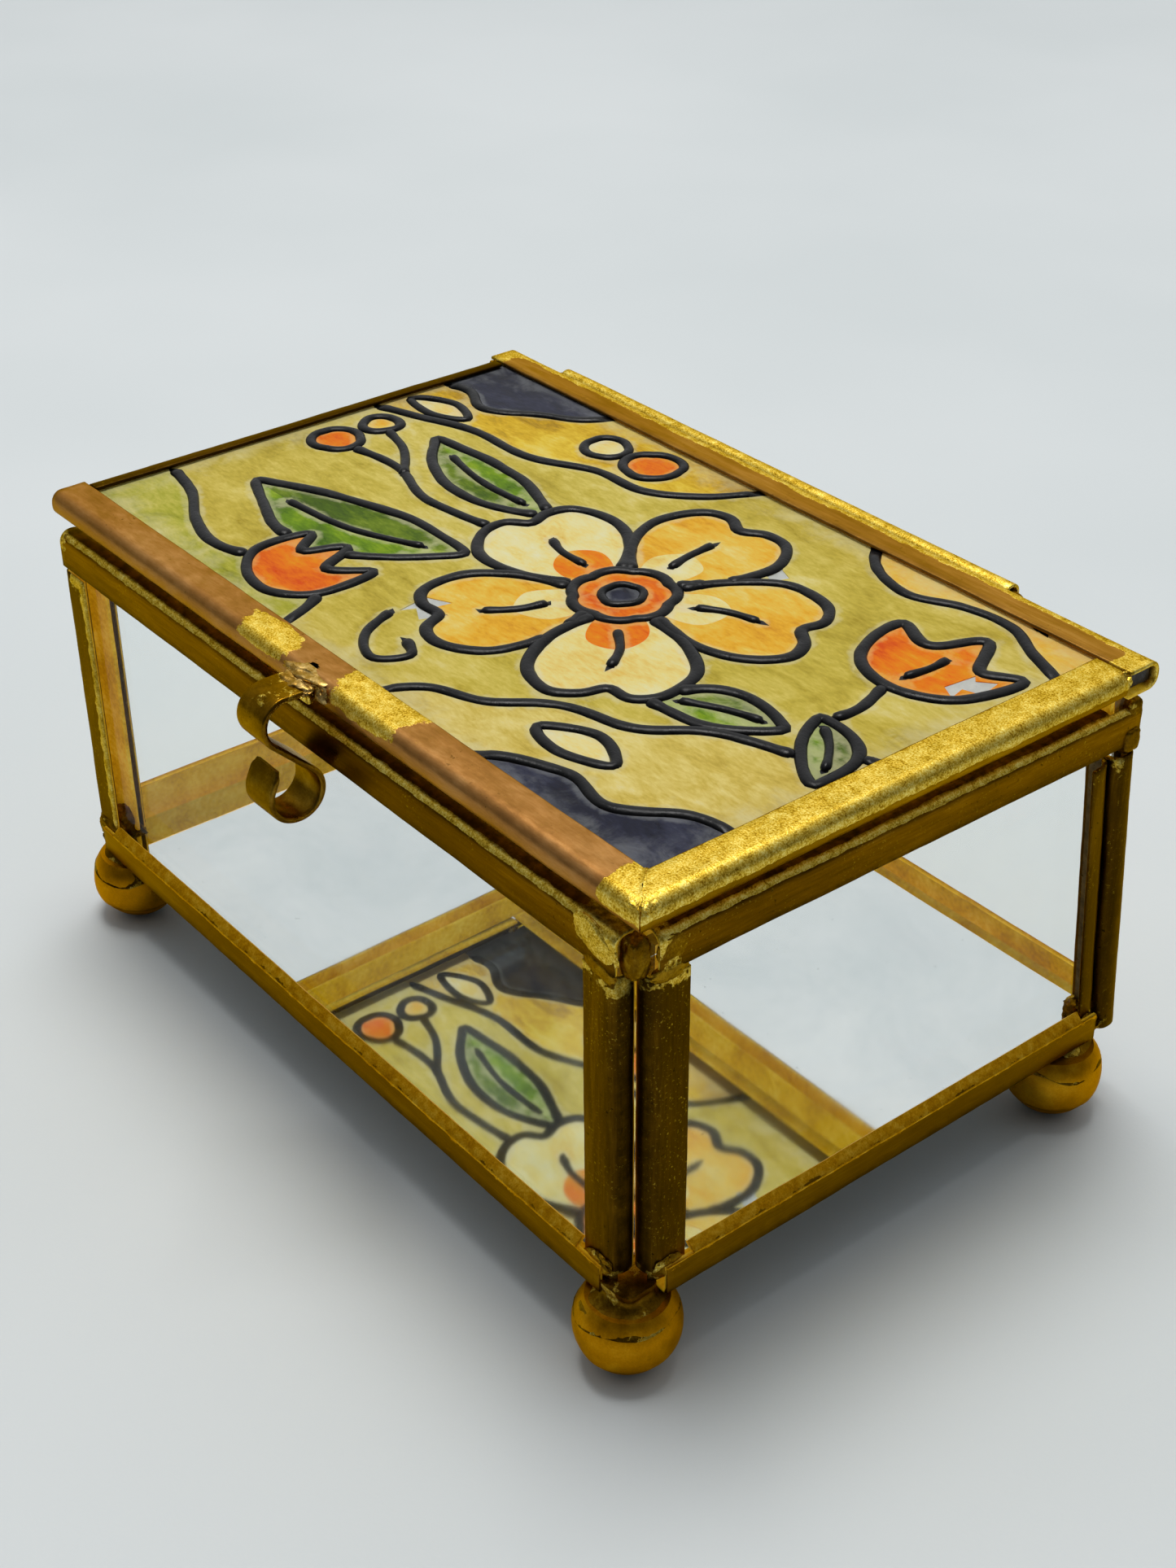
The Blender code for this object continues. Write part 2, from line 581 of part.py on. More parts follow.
# hinge tube: a plain length of tube along the lid's back rail
bm = bmesh.new()
TUBE_SIDES = 28
loops = []
for x, r in ((TUBE_X0, HINGE_R), (TUBE_X1, HINGE_R), (TUBE_X1, HINGE_BORE), (TUBE_X0, HINGE_BORE)):
    loops.append([bm.verts.new((x, r * math.cos(2 * math.pi * k / TUBE_SIDES),
                                r * math.sin(2 * math.pi * k / TUBE_SIDES)))
                  for k in range(TUBE_SIDES)])
for a, b in zip(loops, loops[1:] + loops[:1]):
    for k in range(TUBE_SIDES):
        m = (k + 1) % TUBE_SIDES
        bm.faces.new((a[k], a[m], b[m], b[k]))
place("hinge_tube", bm, AGED_BRASS, lid)

# catch: a springy strip bent into an S, soldered to the lid's front rail
dx, dz = LOWER_A - UPPER_A, LOWER_Z - UPPER_Z
reach = math.hypot(dx, dz)
lean_angle = math.asin((UPPER_R + LOWER_R) / reach)
down = math.atan2(dz, dx)
run = down - lean_angle                       # direction of the straight between the curls
upper_end = run + math.pi / 2                 # where the upper curl lets go
lower_start = run - math.pi / 2               # where the lower curl takes over
crown = UPPER_Z + UPPER_R
path = [(ROOT_A, ROOT_Z)]
ARC, BEND = 18, 5
for i in range(BEND + 1):                     # the end turns up off the rail and over
    a = math.pi - math.pi / 2 * i / BEND
    path.append((ROOT_A + ROOT_R + ROOT_R * math.cos(a), crown - ROOT_R + ROOT_R * math.sin(a)))
upper_sweep = (math.pi / 2 - upper_end) % (2 * math.pi)
for i in range(ARC + 1):
    a = math.pi / 2 - upper_sweep * i / ARC
    path.append((UPPER_A + UPPER_R * math.cos(a), UPPER_Z + UPPER_R * math.sin(a)))
lower_sweep = (math.radians(TIP_ANGLE) - lower_start) % (2 * math.pi)
for i in range(ARC + 1):
    a = lower_start + lower_sweep * i / ARC
    path.append((LOWER_A + LOWER_R * math.cos(a), LOWER_Z + LOWER_R * math.sin(a)))
tip = math.radians(TIP_ANGLE)
path.append((path[-1][0] - TIP_LENGTH * math.sin(tip), path[-1][1] + TIP_LENGTH * math.cos(tip)))
catch_path = [(-LID_Y - a - HINGE_Y, z - HINGE_Z) for a, z in path]
place("lid_catch", strip(catch_path, CATCH_W, CATCH_T), BRIGHT_BRASS, lid, (CATCH_X, 0, 0))
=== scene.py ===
"""Looks of the glass trinket box: folded brass channels with gold touch-up paint and solder,
clear panes, a mirror floor and a lid pane painted inside raised black contour lines.

Lengths are in millimetres in the box's own coordinates until a mesh is made.
"""
import math

import bmesh
import bpy
import numpy as np
from mathutils import Matrix, Vector, geometry, noise


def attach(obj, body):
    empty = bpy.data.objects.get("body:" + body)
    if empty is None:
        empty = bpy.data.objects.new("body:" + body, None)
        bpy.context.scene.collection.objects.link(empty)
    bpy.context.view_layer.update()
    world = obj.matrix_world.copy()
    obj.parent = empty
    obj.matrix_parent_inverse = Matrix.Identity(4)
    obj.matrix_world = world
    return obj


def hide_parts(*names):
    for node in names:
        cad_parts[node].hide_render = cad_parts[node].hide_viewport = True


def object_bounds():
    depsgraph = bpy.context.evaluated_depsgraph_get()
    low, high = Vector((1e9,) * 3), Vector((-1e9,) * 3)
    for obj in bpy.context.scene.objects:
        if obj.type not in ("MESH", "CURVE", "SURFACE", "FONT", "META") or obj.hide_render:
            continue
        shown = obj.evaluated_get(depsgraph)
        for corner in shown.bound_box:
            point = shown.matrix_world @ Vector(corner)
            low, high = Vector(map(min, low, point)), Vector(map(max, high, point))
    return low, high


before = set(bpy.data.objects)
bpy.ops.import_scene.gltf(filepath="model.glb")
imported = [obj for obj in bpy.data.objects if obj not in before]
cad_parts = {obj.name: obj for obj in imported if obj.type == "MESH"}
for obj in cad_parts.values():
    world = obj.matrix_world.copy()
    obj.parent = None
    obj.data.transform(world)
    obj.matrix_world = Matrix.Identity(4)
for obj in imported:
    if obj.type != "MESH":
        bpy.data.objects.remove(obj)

noise.seed_set(11)  # noise_vector starts from the clock otherwise

CAD_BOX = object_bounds()
MM = 0.001
ORIGIN_Y = 0.9375

# ---- sizes shared with the solid model -------------------------------------------------
SHEET, CAME_T, CAME_W, CAME_R, GLASS_T, GAP = 0.40, 2.60, 3.70, 1.15, 1.30, 0.30
BASE_X, BASE_FRONT, BASE_BACK, BASE_Z0, BASE_T, LEFT_T = 42.70, 28.10, 30.90, 7.40, 3.00, 5.00
SHOULDER, BASE_R = 0.80, 0.55
BASE_END_X, BASE_END_LEFT, BASE_END_FRONT, BASE_END_BACK, TRIM_GAP = 39.20, 41.00, 24.00, 26.60, 0.30
WALL_X, WALL_Y, WALL_TOP, SIDE_TOP, SIDE_DROP = 42.00, 27.40, 42.80, 42.70, 0.60
WALL_FOOT, POST_FOOT = 9.65, 8.90
FRONT_POST_X, FRONT_POST_LEFT, LEFT_POST_W, FRONT_RAIL_LEFT = 40.20, 43.20, 4.00, 42.90
SIDE_POST_Y, LEFT_POST_Y, LEFT_SIDE_W = 25.20, 24.50, 1.00
BACK_FOOT_Y, BACK_FOOT_Z, BACK_LEAN, BACK_H = 30.20, 9.90, math.radians(5.20), 34.00
BACK_POST_X, BACK_POST_W, BACK_POST_DROP, BACK_POST_H = 42.30, 2.40, 2.20, 28.00
SIDE_BACK_POST_W, BACK_RAIL_X, TAB, TAB_END = 2.20, 42.30, 0.60, 27.70
FOOT_R, FOOT_FLAT_R, FOOT_TOP = 4.50, 1.50, 7.10
FEET = (("front_left", -39.90, -25.40), ("front_right", 40.10, -25.90),
        ("back_left", -40.30, 24.20), ("back_right", 40.30, 24.20))
LID_X, LID_Y, LID_BACK, LID_Z0, LID_LEFT_W = 43.20, 27.50, 27.90, 44.20, 2.00
LID_BACK_X0, LID_BACK_X1 = -43.60, 43.00
LID_TOP = LID_Z0 + CAME_T
HINGE_R, HINGE_BORE, HINGE_Y, HINGE_Z = 0.95, 0.65, 29.15, 45.20
TUBE_X0, TUBE_X1 = -37.00, 25.80
CATCH_X, CATCH_W, CATCH_T = 0.30, 4.00, 0.55
ROOT_A, ROOT_Z, ROOT_R = 0.55, 44.80, 0.70
UPPER_A, UPPER_Z, UPPER_R = 2.80, 43.70, 2.20
LOWER_A, LOWER_Z, LOWER_R = 2.45, 36.80, 2.45
TIP_ANGLE, TIP_LENGTH = 26.0, 1.70
PANE_TOP = LID_Z0 + (CAME_T + GLASS_T) / 2

X, Y, Z = np.eye(3)


# ======================================================================================
# Materials
# ======================================================================================
def srgb(r, g, b):
    """Linear colour of an 8-bit display colour."""
    out = []
    for c in (r, g, b):
        c /= 255
        out.append(c / 12.92 if c <= 0.04045 else ((c + 0.055) / 1.055) ** 2.4)
    return tuple(out)


class Graph:
    """A small builder for one node material."""

    def __init__(self, name):
        self.mat = bpy.data.materials.new(name)
        self.mat.use_nodes = True
        self.nt = self.mat.node_tree
        self.nt.nodes.clear()
        self.out = self.nt.nodes.new("ShaderNodeOutputMaterial")
        self.coord = self.nt.nodes.new("ShaderNodeTexCoord").outputs["Object"]

    def put(self, socket, value):
        if isinstance(value, bpy.types.NodeSocket):
            self.nt.links.new(value, socket)
        elif isinstance(value, (tuple, list)):
            n = len(socket.default_value)
            socket.default_value = (tuple(value) + (1.0,))[:n]
        else:
            socket.default_value = value

    def stretch(self, scale=(1, 1, 1), rotate=(0, 0, 0), shift=(0, 0, 0)):
        m = self.nt.nodes.new("ShaderNodeMapping")
        m.inputs["Scale"].default_value = scale
        m.inputs["Rotation"].default_value = rotate
        m.inputs["Location"].default_value = shift
        self.nt.links.new(self.coord, m.inputs["Vector"])
        return m.outputs["Vector"]

    def noise(self, scale, detail=3.0, rough=0.55, warp=0.0, vector=None, colour=False):
        n = self.nt.nodes.new("ShaderNodeTexNoise")
        n.inputs["Scale"].default_value = scale
        n.inputs["Detail"].default_value = detail
        n.inputs["Roughness"].default_value = rough
        n.inputs["Distortion"].default_value = warp
        self.nt.links.new(vector or self.coord, n.inputs["Vector"])
        return n.outputs["Color" if colour else "Fac"]

    def cells(self, scale, vector=None, feature="F1"):
        n = self.nt.nodes.new("ShaderNodeTexVoronoi")
        n.feature = feature
        n.inputs["Scale"].default_value = scale
        self.nt.links.new(vector or self.coord, n.inputs["Vector"])
        return n.outputs["Distance"]

    def ramp(self, fac, stops):
        r = self.nt.nodes.new("ShaderNodeValToRGB")
        while len(r.color_ramp.elements) < len(stops):
            r.color_ramp.elements.new(0.5)
        for e, (at, colour) in zip(r.color_ramp.elements, stops):
            e.position = at
            e.color = (*colour, 1.0)
        self.nt.links.new(fac, r.inputs["Fac"])
        return r.outputs["Color"]

    def mix(self, fac, a, b, blend="MIX"):
        m = self.nt.nodes.new("ShaderNodeMix")
        m.data_type = "RGBA"
        m.blend_type = blend
        m.clamp_result = False
        self.put(m.inputs[0], fac)
        self.put(m.inputs[6], a)
        self.put(m.inputs[7], b)
        return m.outputs[2]

    def math(self, op, a, b=0.0, clamp=False):
        m = self.nt.nodes.new("ShaderNodeMath")
        m.operation = op
        m.use_clamp = clamp
        self.put(m.inputs[0], a)
        self.put(m.inputs[1], b)
        return m.outputs[0]

    def span(self, value, a0, a1, b0=0.0, b1=1.0, smooth=False):
        m = self.nt.nodes.new("ShaderNodeMapRange")
        m.interpolation_type = "SMOOTHSTEP" if smooth else "LINEAR"
        m.clamp = True
        self.put(m.inputs["Value"], value)
        for key, v in (("From Min", a0), ("From Max", a1), ("To Min", b0), ("To Max", b1)):
            self.put(m.inputs[key], v)
        return m.outputs["Result"]

    def attr(self, name):
        a = self.nt.nodes.new("ShaderNodeAttribute")
        a.attribute_name = name
        return a.outputs["Fac"]

    def axis(self, which):
        s = self.nt.nodes.new("ShaderNodeSeparateXYZ")
        self.nt.links.new(self.coord, s.inputs[0])
        return s.outputs[which]

    def bump(self, height, strength=0.3, distance=0.0001, normal=None):
        b = self.nt.nodes.new("ShaderNodeBump")
        b.inputs["Strength"].default_value = strength
        b.inputs["Distance"].default_value = distance
        self.put(b.inputs["Height"], height)
        if normal is not None:
            self.put(b.inputs["Normal"], normal)
        return b.outputs["Normal"]

    def facing(self):
        f = self.nt.nodes.new("ShaderNodeLayerWeight")
        f.inputs["Blend"].default_value = 0.5
        return f.outputs["Facing"]

    def shader(self, kind, **inputs):
        s = self.nt.nodes.new("ShaderNode" + kind)
        for key, v in inputs.items():
            self.put(s.inputs[key.replace("_", " ")], v)
        return s

    def principled(self, **inputs):
        return self.shader("BsdfPrincipled", **inputs)

    def blend(self, fac, a, b):
        m = self.nt.nodes.new("ShaderNodeMixShader")
        self.put(m.inputs[0], fac)
        self.nt.links.new(a.outputs[0], m.inputs[1])
        self.nt.links.new(b.outputs[0], m.inputs[2])
        return m

    def done(self, shader):
        self.nt.links.new(shader.outputs[0], self.out.inputs["Surface"])
        return self.mat


GOLD = (srgb(146, 108, 14), srgb(220, 184, 62), srgb(252, 234, 132))
DARK = srgb(26, 16, 4)


def brass(name, tones, rough=(0.28, 0.42), specks=0.5, gold=GOLD, flakes=0.55, grain=0.22,
          along=(1, 1, 1), calm=0.6, dust=0.25):
    """Aged folded brass: cloudy tarnish drawn out along the sheet, dark specks, gold dust, fine
    grain, and gold touch-up paint wherever the mesh says, with a ragged edge."""
    g = Graph(name)
    drawn = g.stretch(along)
    cloud = g.noise(150, 3.0, 0.55, 0.3, drawn)
    mottle = g.noise(900, 4.0, 0.6, 0.2, drawn)
    hair = g.noise(5200, 2.0, 0.6, 0.0, g.stretch(tuple(0.35 * v if v < 1 else v for v in along)))
    fine = g.noise(6500, 2.0, 0.6)
    worn = g.math("ADD", g.math("MULTIPLY", cloud, 0.50), g.math("MULTIPLY", mottle, 0.30))
    worn = g.math("ADD", worn, g.math("MULTIPLY", hair, 0.20))
    reach = 0.13 + 0.15 * calm
    body = g.ramp(worn, [(0.5 - reach, tones[0]), (0.5, tones[1]), (0.5 + reach, tones[2])])
    dots = g.span(g.noise(2600, 2.0, 0.5), 0.66, 0.72)
    dots = g.math("MULTIPLY", dots, g.span(g.noise(260, 2.0), 0.45, 0.62, 0.0, specks))
    body = g.mix(dots, body, DARK)
    flecks = g.math("MULTIPLY", g.span(g.noise(3900, 3.0, 0.65), 0.60, 0.70), g.span(g.noise(170, 3.0, 0.6, 0.4), 0.42, 0.66, 0.12, 1.0))
    body = g.mix(g.math("MULTIPLY", flecks, dust), body, gold[1])
    # touch-up paint: metallic flakes in a ragged film
    rag = g.math("ADD", g.math("MULTIPLY", g.math("SUBTRACT", g.noise(330, 3.0, 0.6, 0.6), 0.5), 1.05),
                 g.math("MULTIPLY", g.math("SUBTRACT", g.noise(1300, 4.0, 0.7), 0.5), 0.7))
    edge = g.math("ADD", g.attr("gold"), rag)
    film = g.span(edge, 0.47, 0.55, smooth=True)
    sand = g.noise(1100, 4.0, 0.65, 0.3)
    leaf = g.ramp(g.math("ADD", g.math("MULTIPLY", fine, flakes), g.math("MULTIPLY", sand, 1.0 - flakes)),
                  [(0.36, gold[0]), (0.50, gold[1]), (0.66, gold[2])])
    colour = g.mix(film, body, leaf)
    # darkening from the mesh: grime along folded edges, and painted shade under the lips and between parts
    dirt = g.math("MULTIPLY", g.attr("grime_and_shade"), g.span(g.noise(700, 4.0, 0.7), 0.30, 0.62, 0.45, 1.0))
    colour = g.mix(dirt, colour, DARK)
    dull = g.span(mottle, 0.3, 0.7, rough[0], rough[1])
    dull = g.math("ADD", dull, g.math("MULTIPLY", film, 0.06))
    # the faces turned to the glass keep a flat, unpolished coat, painted bright and made to glow a little: painted
    # light inside the box
    coat_glow = g.attr("lined_glow")
    flat = g.ramp(g.math("ADD", g.math("MULTIPLY", g.noise(240, 3.0, 0.6), 0.6), g.math("MULTIPLY", g.noise(2400, 3.0, 0.6), 0.4)),
                  [(0.36, srgb(202, 150, 10)), (0.52, srgb(234, 190, 34)), (0.66, srgb(250, 216, 80))])
    colour = g.mix(coat_glow, colour, flat)
    dull = g.math("ADD", dull, g.math("MULTIPLY", coat_glow, 0.18))
    dull = g.math("ADD", dull, g.math("MULTIPLY", dirt, 0.15), True)
    height = g.math("ADD", g.math("MULTIPLY", fine, g.span(film, 0.0, 1.0, 0.25, 0.75)), g.math("MULTIPLY", mottle, 0.4))
    height = g.math("ADD", height, g.math("MULTIPLY", film, 0.7))
    # the coat's emission is a painted glow that stands in for light inside the box
    p = g.principled(Base_Color=colour, Roughness=dull, Metallic=g.span(coat_glow, 0.0, 1.0, 1.0, 0.08), Specular_Tint=(1.0, 0.74, 0.30),
                     Emission_Color=flat, Emission_Strength=g.math("MULTIPLY", coat_glow, 0.17),
                     Normal=g.bump(height, grain, 0.00012))
    return g.done(p)


def clear_glass(name, tint, dust=0.007):
    """Thin clear pane: straight through, with a surface reflection and a little dust."""
    g = Graph(name)
    shine = g.math("MULTIPLY_ADD", g.math("POWER", g.facing(), 5.0), 0.22)
    shine.node.inputs[2].default_value = 0.006
    haze = g.span(g.noise(420, 4.0, 0.7), 0.45, 0.75, 0.0, dust)
    spots = g.span(g.noise(5200, 2.0, 0.5), 0.68, 0.75, 0.0, dust * 2.5)
    through = g.shader("BsdfTransparent", Color=tint)
    gloss = g.shader("BsdfAnisotropic", Color=(1, 1, 1), Roughness=g.span(g.noise(240, 3.0), 0.3, 0.7, 0.01, 0.05))
    film = g.shader("BsdfDiffuse", Color=srgb(214, 216, 212), Roughness=0.8)
    pane = g.blend(shine, through, gloss)
    return g.done(g.blend(g.math("ADD", haze, spots, True), pane, film))


def ground_edge(name, low, high, tint):
    """Cut edge of a pane: frosted, with old flux and dirt from the channel."""
    g = Graph(name)
    tone = g.ramp(g.noise(900, 3.0), [(0.3, low), (0.7, high)])
    solid = g.principled(Base_Color=tone, Roughness=g.span(g.noise(2200, 3.0), 0.3, 0.7, 0.25, 0.5), IOR=1.5,
                         Normal=g.bump(g.noise(3000, 3.0), 0.4, 0.0001))
    through = g.shader("BsdfTransparent", Color=tint)
    return g.done(g.blend(g.span(g.noise(500, 3.0), 0.3, 0.7, 0.45, 0.75), through, solid))


def mirror_face(name):
    """Old silvered mirror: a little cloudy, faintly blue-grey."""
    g = Graph(name)
    cloud = g.noise(60, 4.0, 0.6, 0.6)
    tone = g.ramp(cloud, [(0.3, (0.74, 0.79, 0.80)), (0.7, (0.87, 0.90, 0.90))])
    specks = g.span(g.noise(1500, 3.0, 0.6), 0.68, 0.76, 0.0, 0.35)
    tone = g.mix(specks, tone, srgb(150, 155, 155))
    rough = g.span(g.noise(45, 3.0, 0.6, 0.3), 0.35, 0.7, 0.012, 0.05)
    p = g.principled(Base_Color=tone, Metallic=1.0, Roughness=rough,
                     Normal=g.bump(g.noise(35, 2.0), 0.02, 0.0004))
    return g.done(p)


def enamel(name, tones, angle, thin, translucent=0.48, glow=0.10):
    """Hand-brushed glass paint: soft uneven patches, thin and pale beside the contours and the
    frame, and light comes through it from the other side."""
    g = Graph(name)
    turned_by = (0, 0, math.radians(angle))
    pool = g.noise(95, 3.0, 0.55, 0.9)
    brush = g.noise(360, 5.0, 0.62, 0.9, g.stretch((0.55, 1.25, 1), turned_by))
    hair = g.noise(2600, 3.0, 0.6, 0.2, g.stretch((0.45, 1.3, 1), turned_by))
    fac = g.math("ADD", g.math("MULTIPLY", pool, 0.42), g.math("MULTIPLY", brush, 0.38))
    fac = g.math("ADD", fac, g.math("MULTIPLY", hair, 0.20))
    colour = g.ramp(fac, [(0.36, tones[0]), (0.47, tones[1]), (0.56, tones[2]), (0.68, tones[3])])
    # thin paint near the frame lets the pane show pale
    x, y = g.axis(0), g.axis(1)
    reach_x = g.math("SUBTRACT", 0.0405, g.math("ABSOLUTE", g.math("ADD", x, 0.0007)))
    reach_y = g.math("SUBTRACT", 0.0242, g.math("ABSOLUTE", g.math("SUBTRACT", y, 0.0011)))
    rim = g.math("MINIMUM", reach_x, reach_y)
    rim = g.math("ADD", rim, g.math("MULTIPLY", g.math("SUBTRACT", g.noise(260, 5.0, 0.7, 0.6), 0.5), 0.010))
    pale = g.span(rim, -0.0005, 0.0030, 0.45, 0.0, True)
    beside = g.math("ADD", g.attr("gold"), g.math("MULTIPLY", g.math("SUBTRACT", g.noise(420, 5.0, 0.7, 0.5), 0.5), 1.1))
    pale = g.math("MAXIMUM", pale, g.span(beside, 0.62, 1.05, 0.0, 0.50, True))
    colour = g.mix(pale, colour, thin)
    rub = g.span(g.noise(310, 6.0, 0.72, 0.8), 0.64, 0.80, 0.0, 0.22)
    colour = g.mix(rub, colour, thin)
    dull = g.span(brush, 0.3, 0.7, 0.26, 0.42)
    dull = g.math("ADD", dull, g.math("MULTIPLY", pale, 0.25), True)
    normal = g.bump(g.math("ADD", g.math("MULTIPLY", brush, 0.7), g.math("MULTIPLY", hair, 0.35)), 0.16, 0.00014)
    p = g.principled(Base_Color=colour, Roughness=dull, IOR=1.42, Specular_IOR_Level=0.14, Normal=normal)
    t = g.shader("BsdfTranslucent", Color=g.mix(glow, colour, srgb(255, 250, 214)), Normal=normal)
    return g.done(g.blend(translucent, p, t))


def backing(name):
    """Side of the paint that lies on the pane."""
    g = Graph(name)
    t = g.shader("BsdfTransparent", Color=(0.99, 0.99, 0.985))
    gloss = g.shader("BsdfAnisotropic", Color=(1, 1, 1), Roughness=g.span(g.noise(400, 3.0), 0.3, 0.7, 0.08, 0.2))
    return g.done(g.blend(g.span(g.noise(300, 3.0), 0.3, 0.7, 0.02, 0.05), t, gloss))


def contour_paint(name):
    """Black relief paint, satin, a little dusty."""
    g = Graph(name)
    n = g.noise(700, 4.0, 0.6, 0.4)
    tone = g.ramp(n, [(0.3, srgb(4, 4, 5)), (0.6, srgb(11, 11, 13)), (0.8, srgb(30, 30, 33))])
    dust = g.span(g.noise(3600, 3.0, 0.6), 0.68, 0.78, 0.0, 0.25)
    tone = g.mix(dust, tone, srgb(96, 96, 92))
    p = g.principled(Base_Color=tone, Roughness=g.span(n, 0.3, 0.7, 0.24, 0.44), IOR=1.45, Specular_IOR_Level=0.22,
                     Normal=g.bump(g.math("ADD", n, g.math("MULTIPLY", g.noise(2500, 3.0), 0.4)), 0.35, 0.00015))
    return g.done(p)


def chipped(name):
    """Bare pale patch where the paint has flaked away."""
    g = Graph(name)
    tone = g.ramp(g.noise(500, 5.0, 0.7), [(0.3, srgb(176, 180, 178)), (0.55, srgb(208, 211, 208)), (0.75, srgb(226, 226, 220))])
    p = g.principled(Base_Color=tone, Roughness=g.span(g.noise(900, 4.0), 0.3, 0.7, 0.35, 0.6), IOR=1.5,
                     Normal=g.bump(g.noise(1500, 4.0, 0.7), 0.4, 0.0001))
    t = g.shader("BsdfTranslucent", Color=srgb(235, 238, 238))
    return g.done(g.blend(0.4, p, t))


def floor_paper(name):
    """Smooth pale backdrop with a very fine tooth."""
    g = Graph(name)
    n = g.noise(9, 3.0, 0.5)
    tone = g.ramp(n, [(0.35, FLOOR_TONES[0]), (0.65, FLOOR_TONES[1])])
    tooth = g.noise(2600, 3.0, 0.6)
    p = g.principled(Base_Color=tone, Roughness=g.span(tooth, 0.3, 0.7, 0.62, 0.8), IOR=1.4,
                     Normal=g.bump(tooth, 0.12, 0.00008))
    return g.done(p)


FLOOR_TONES = (srgb(205, 211, 213), srgb(212, 217, 219))

LENGTHWISE, CROSSWISE, UPRIGHT = (0.16, 1, 1), (1, 0.16, 1), (1, 1, 0.16)
AMBER = (srgb(182, 122, 6), srgb(214, 154, 18), srgb(240, 190, 56))
TRAY_TONES = (srgb(84, 56, 4), srgb(130, 91, 9), srgb(174, 132, 30))
TRAY_X = brass("tray_brass_finish", TRAY_TONES, (0.26, 0.38), 0.3, gold=AMBER, flakes=0.35, along=LENGTHWISE, calm=0.8)
TRAY_Y = brass("tray_side_finish", TRAY_TONES, (0.26, 0.38), 0.3, gold=AMBER, flakes=0.35, along=CROSSWISE, calm=0.8)
FOOT = brass("foot_brass_finish", (srgb(128, 82, 2), srgb(192, 132, 6), srgb(236, 184, 42)), (0.34, 0.48), 0.3, gold=AMBER, calm=0.9)
RAIL_TONES = (srgb(58, 36, 2), srgb(104, 68, 6), srgb(156, 110, 24))
RAIL_X = brass("rail_brass_finish", RAIL_TONES, (0.26, 0.40), 0.7, along=LENGTHWISE, calm=0.4, dust=0.45)
RAIL_Y = brass("rail_side_finish", (srgb(66, 42, 2), srgb(122, 82, 8), srgb(178, 130, 34)), (0.26, 0.40), 0.7, along=CROSSWISE, calm=0.4, dust=0.45)
POST = brass("post_brass_finish", (srgb(50, 33, 2), srgb(84, 57, 4), srgb(134, 96, 18)), (0.26, 0.42), 1.0, along=UPRIGHT, calm=0.25, dust=0.75)
HINGE = brass("hinge_brass_finish", (srgb(158, 124, 48), srgb(206, 172, 84), srgb(234, 208, 130)), (0.28, 0.42), 0.3, along=LENGTHWISE)
COPPER = brass("lid_copper_finish", (srgb(118, 76, 38), srgb(168, 118, 64), srgb(204, 156, 98)), (0.32, 0.46), 0.6,
               along=(0.55, 1, 1), calm=1.0, dust=0.15)
LID_GOLD = brass("lid_brass_finish", (srgb(88, 60, 4), srgb(144, 104, 14), srgb(196, 154, 44)), (0.28, 0.42), 0.4, flakes=0.60, along=(1, 0.4, 1))
LID_BROWN = brass("lid_back_finish", (srgb(114, 76, 28), srgb(166, 118, 52), srgb(204, 158, 86)), (0.30, 0.44), 0.4, along=LENGTHWISE)
LID_DARK = brass("lid_left_finish", (srgb(38, 24, 4), srgb(64, 42, 8), srgb(104, 74, 22)), (0.30, 0.44), 0.5, along=CROSSWISE)
CATCH = brass("catch_brass_finish", (srgb(84, 56, 6), srgb(142, 102, 18), srgb(200, 158, 54)), (0.20, 0.34), 0.4)
SOLDER = brass("solder_finish", (srgb(66, 44, 4), srgb(128, 90, 12), srgb(196, 154, 38)), (0.26, 0.46), 0.6, flakes=0.6, grain=0.55, calm=0.1, dust=0.6)
TIN = brass("tin_solder_finish", (srgb(104, 74, 26), srgb(174, 134, 60), srgb(228, 200, 132)), (0.25, 0.5), 0.7, grain=0.7, calm=0.0)
GLASS = clear_glass("clear_glass_finish", (0.986, 0.993, 0.991))
LID_PANE = clear_glass("lid_glass_finish", (0.99, 0.993, 0.988), 0.006)
EDGE = ground_edge("glass_edge_finish", srgb(74, 60, 32), srgb(132, 116, 78), (0.50, 0.46, 0.34))
LID_EDGE = ground_edge("lid_edge_finish", srgb(34, 24, 12), srgb(70, 54, 30), (0.10, 0.08, 0.05))
MIRROR = mirror_face("mirror_finish")
BLACK = contour_paint("contour_finish")
BACKING = backing("paint_backing_finish")


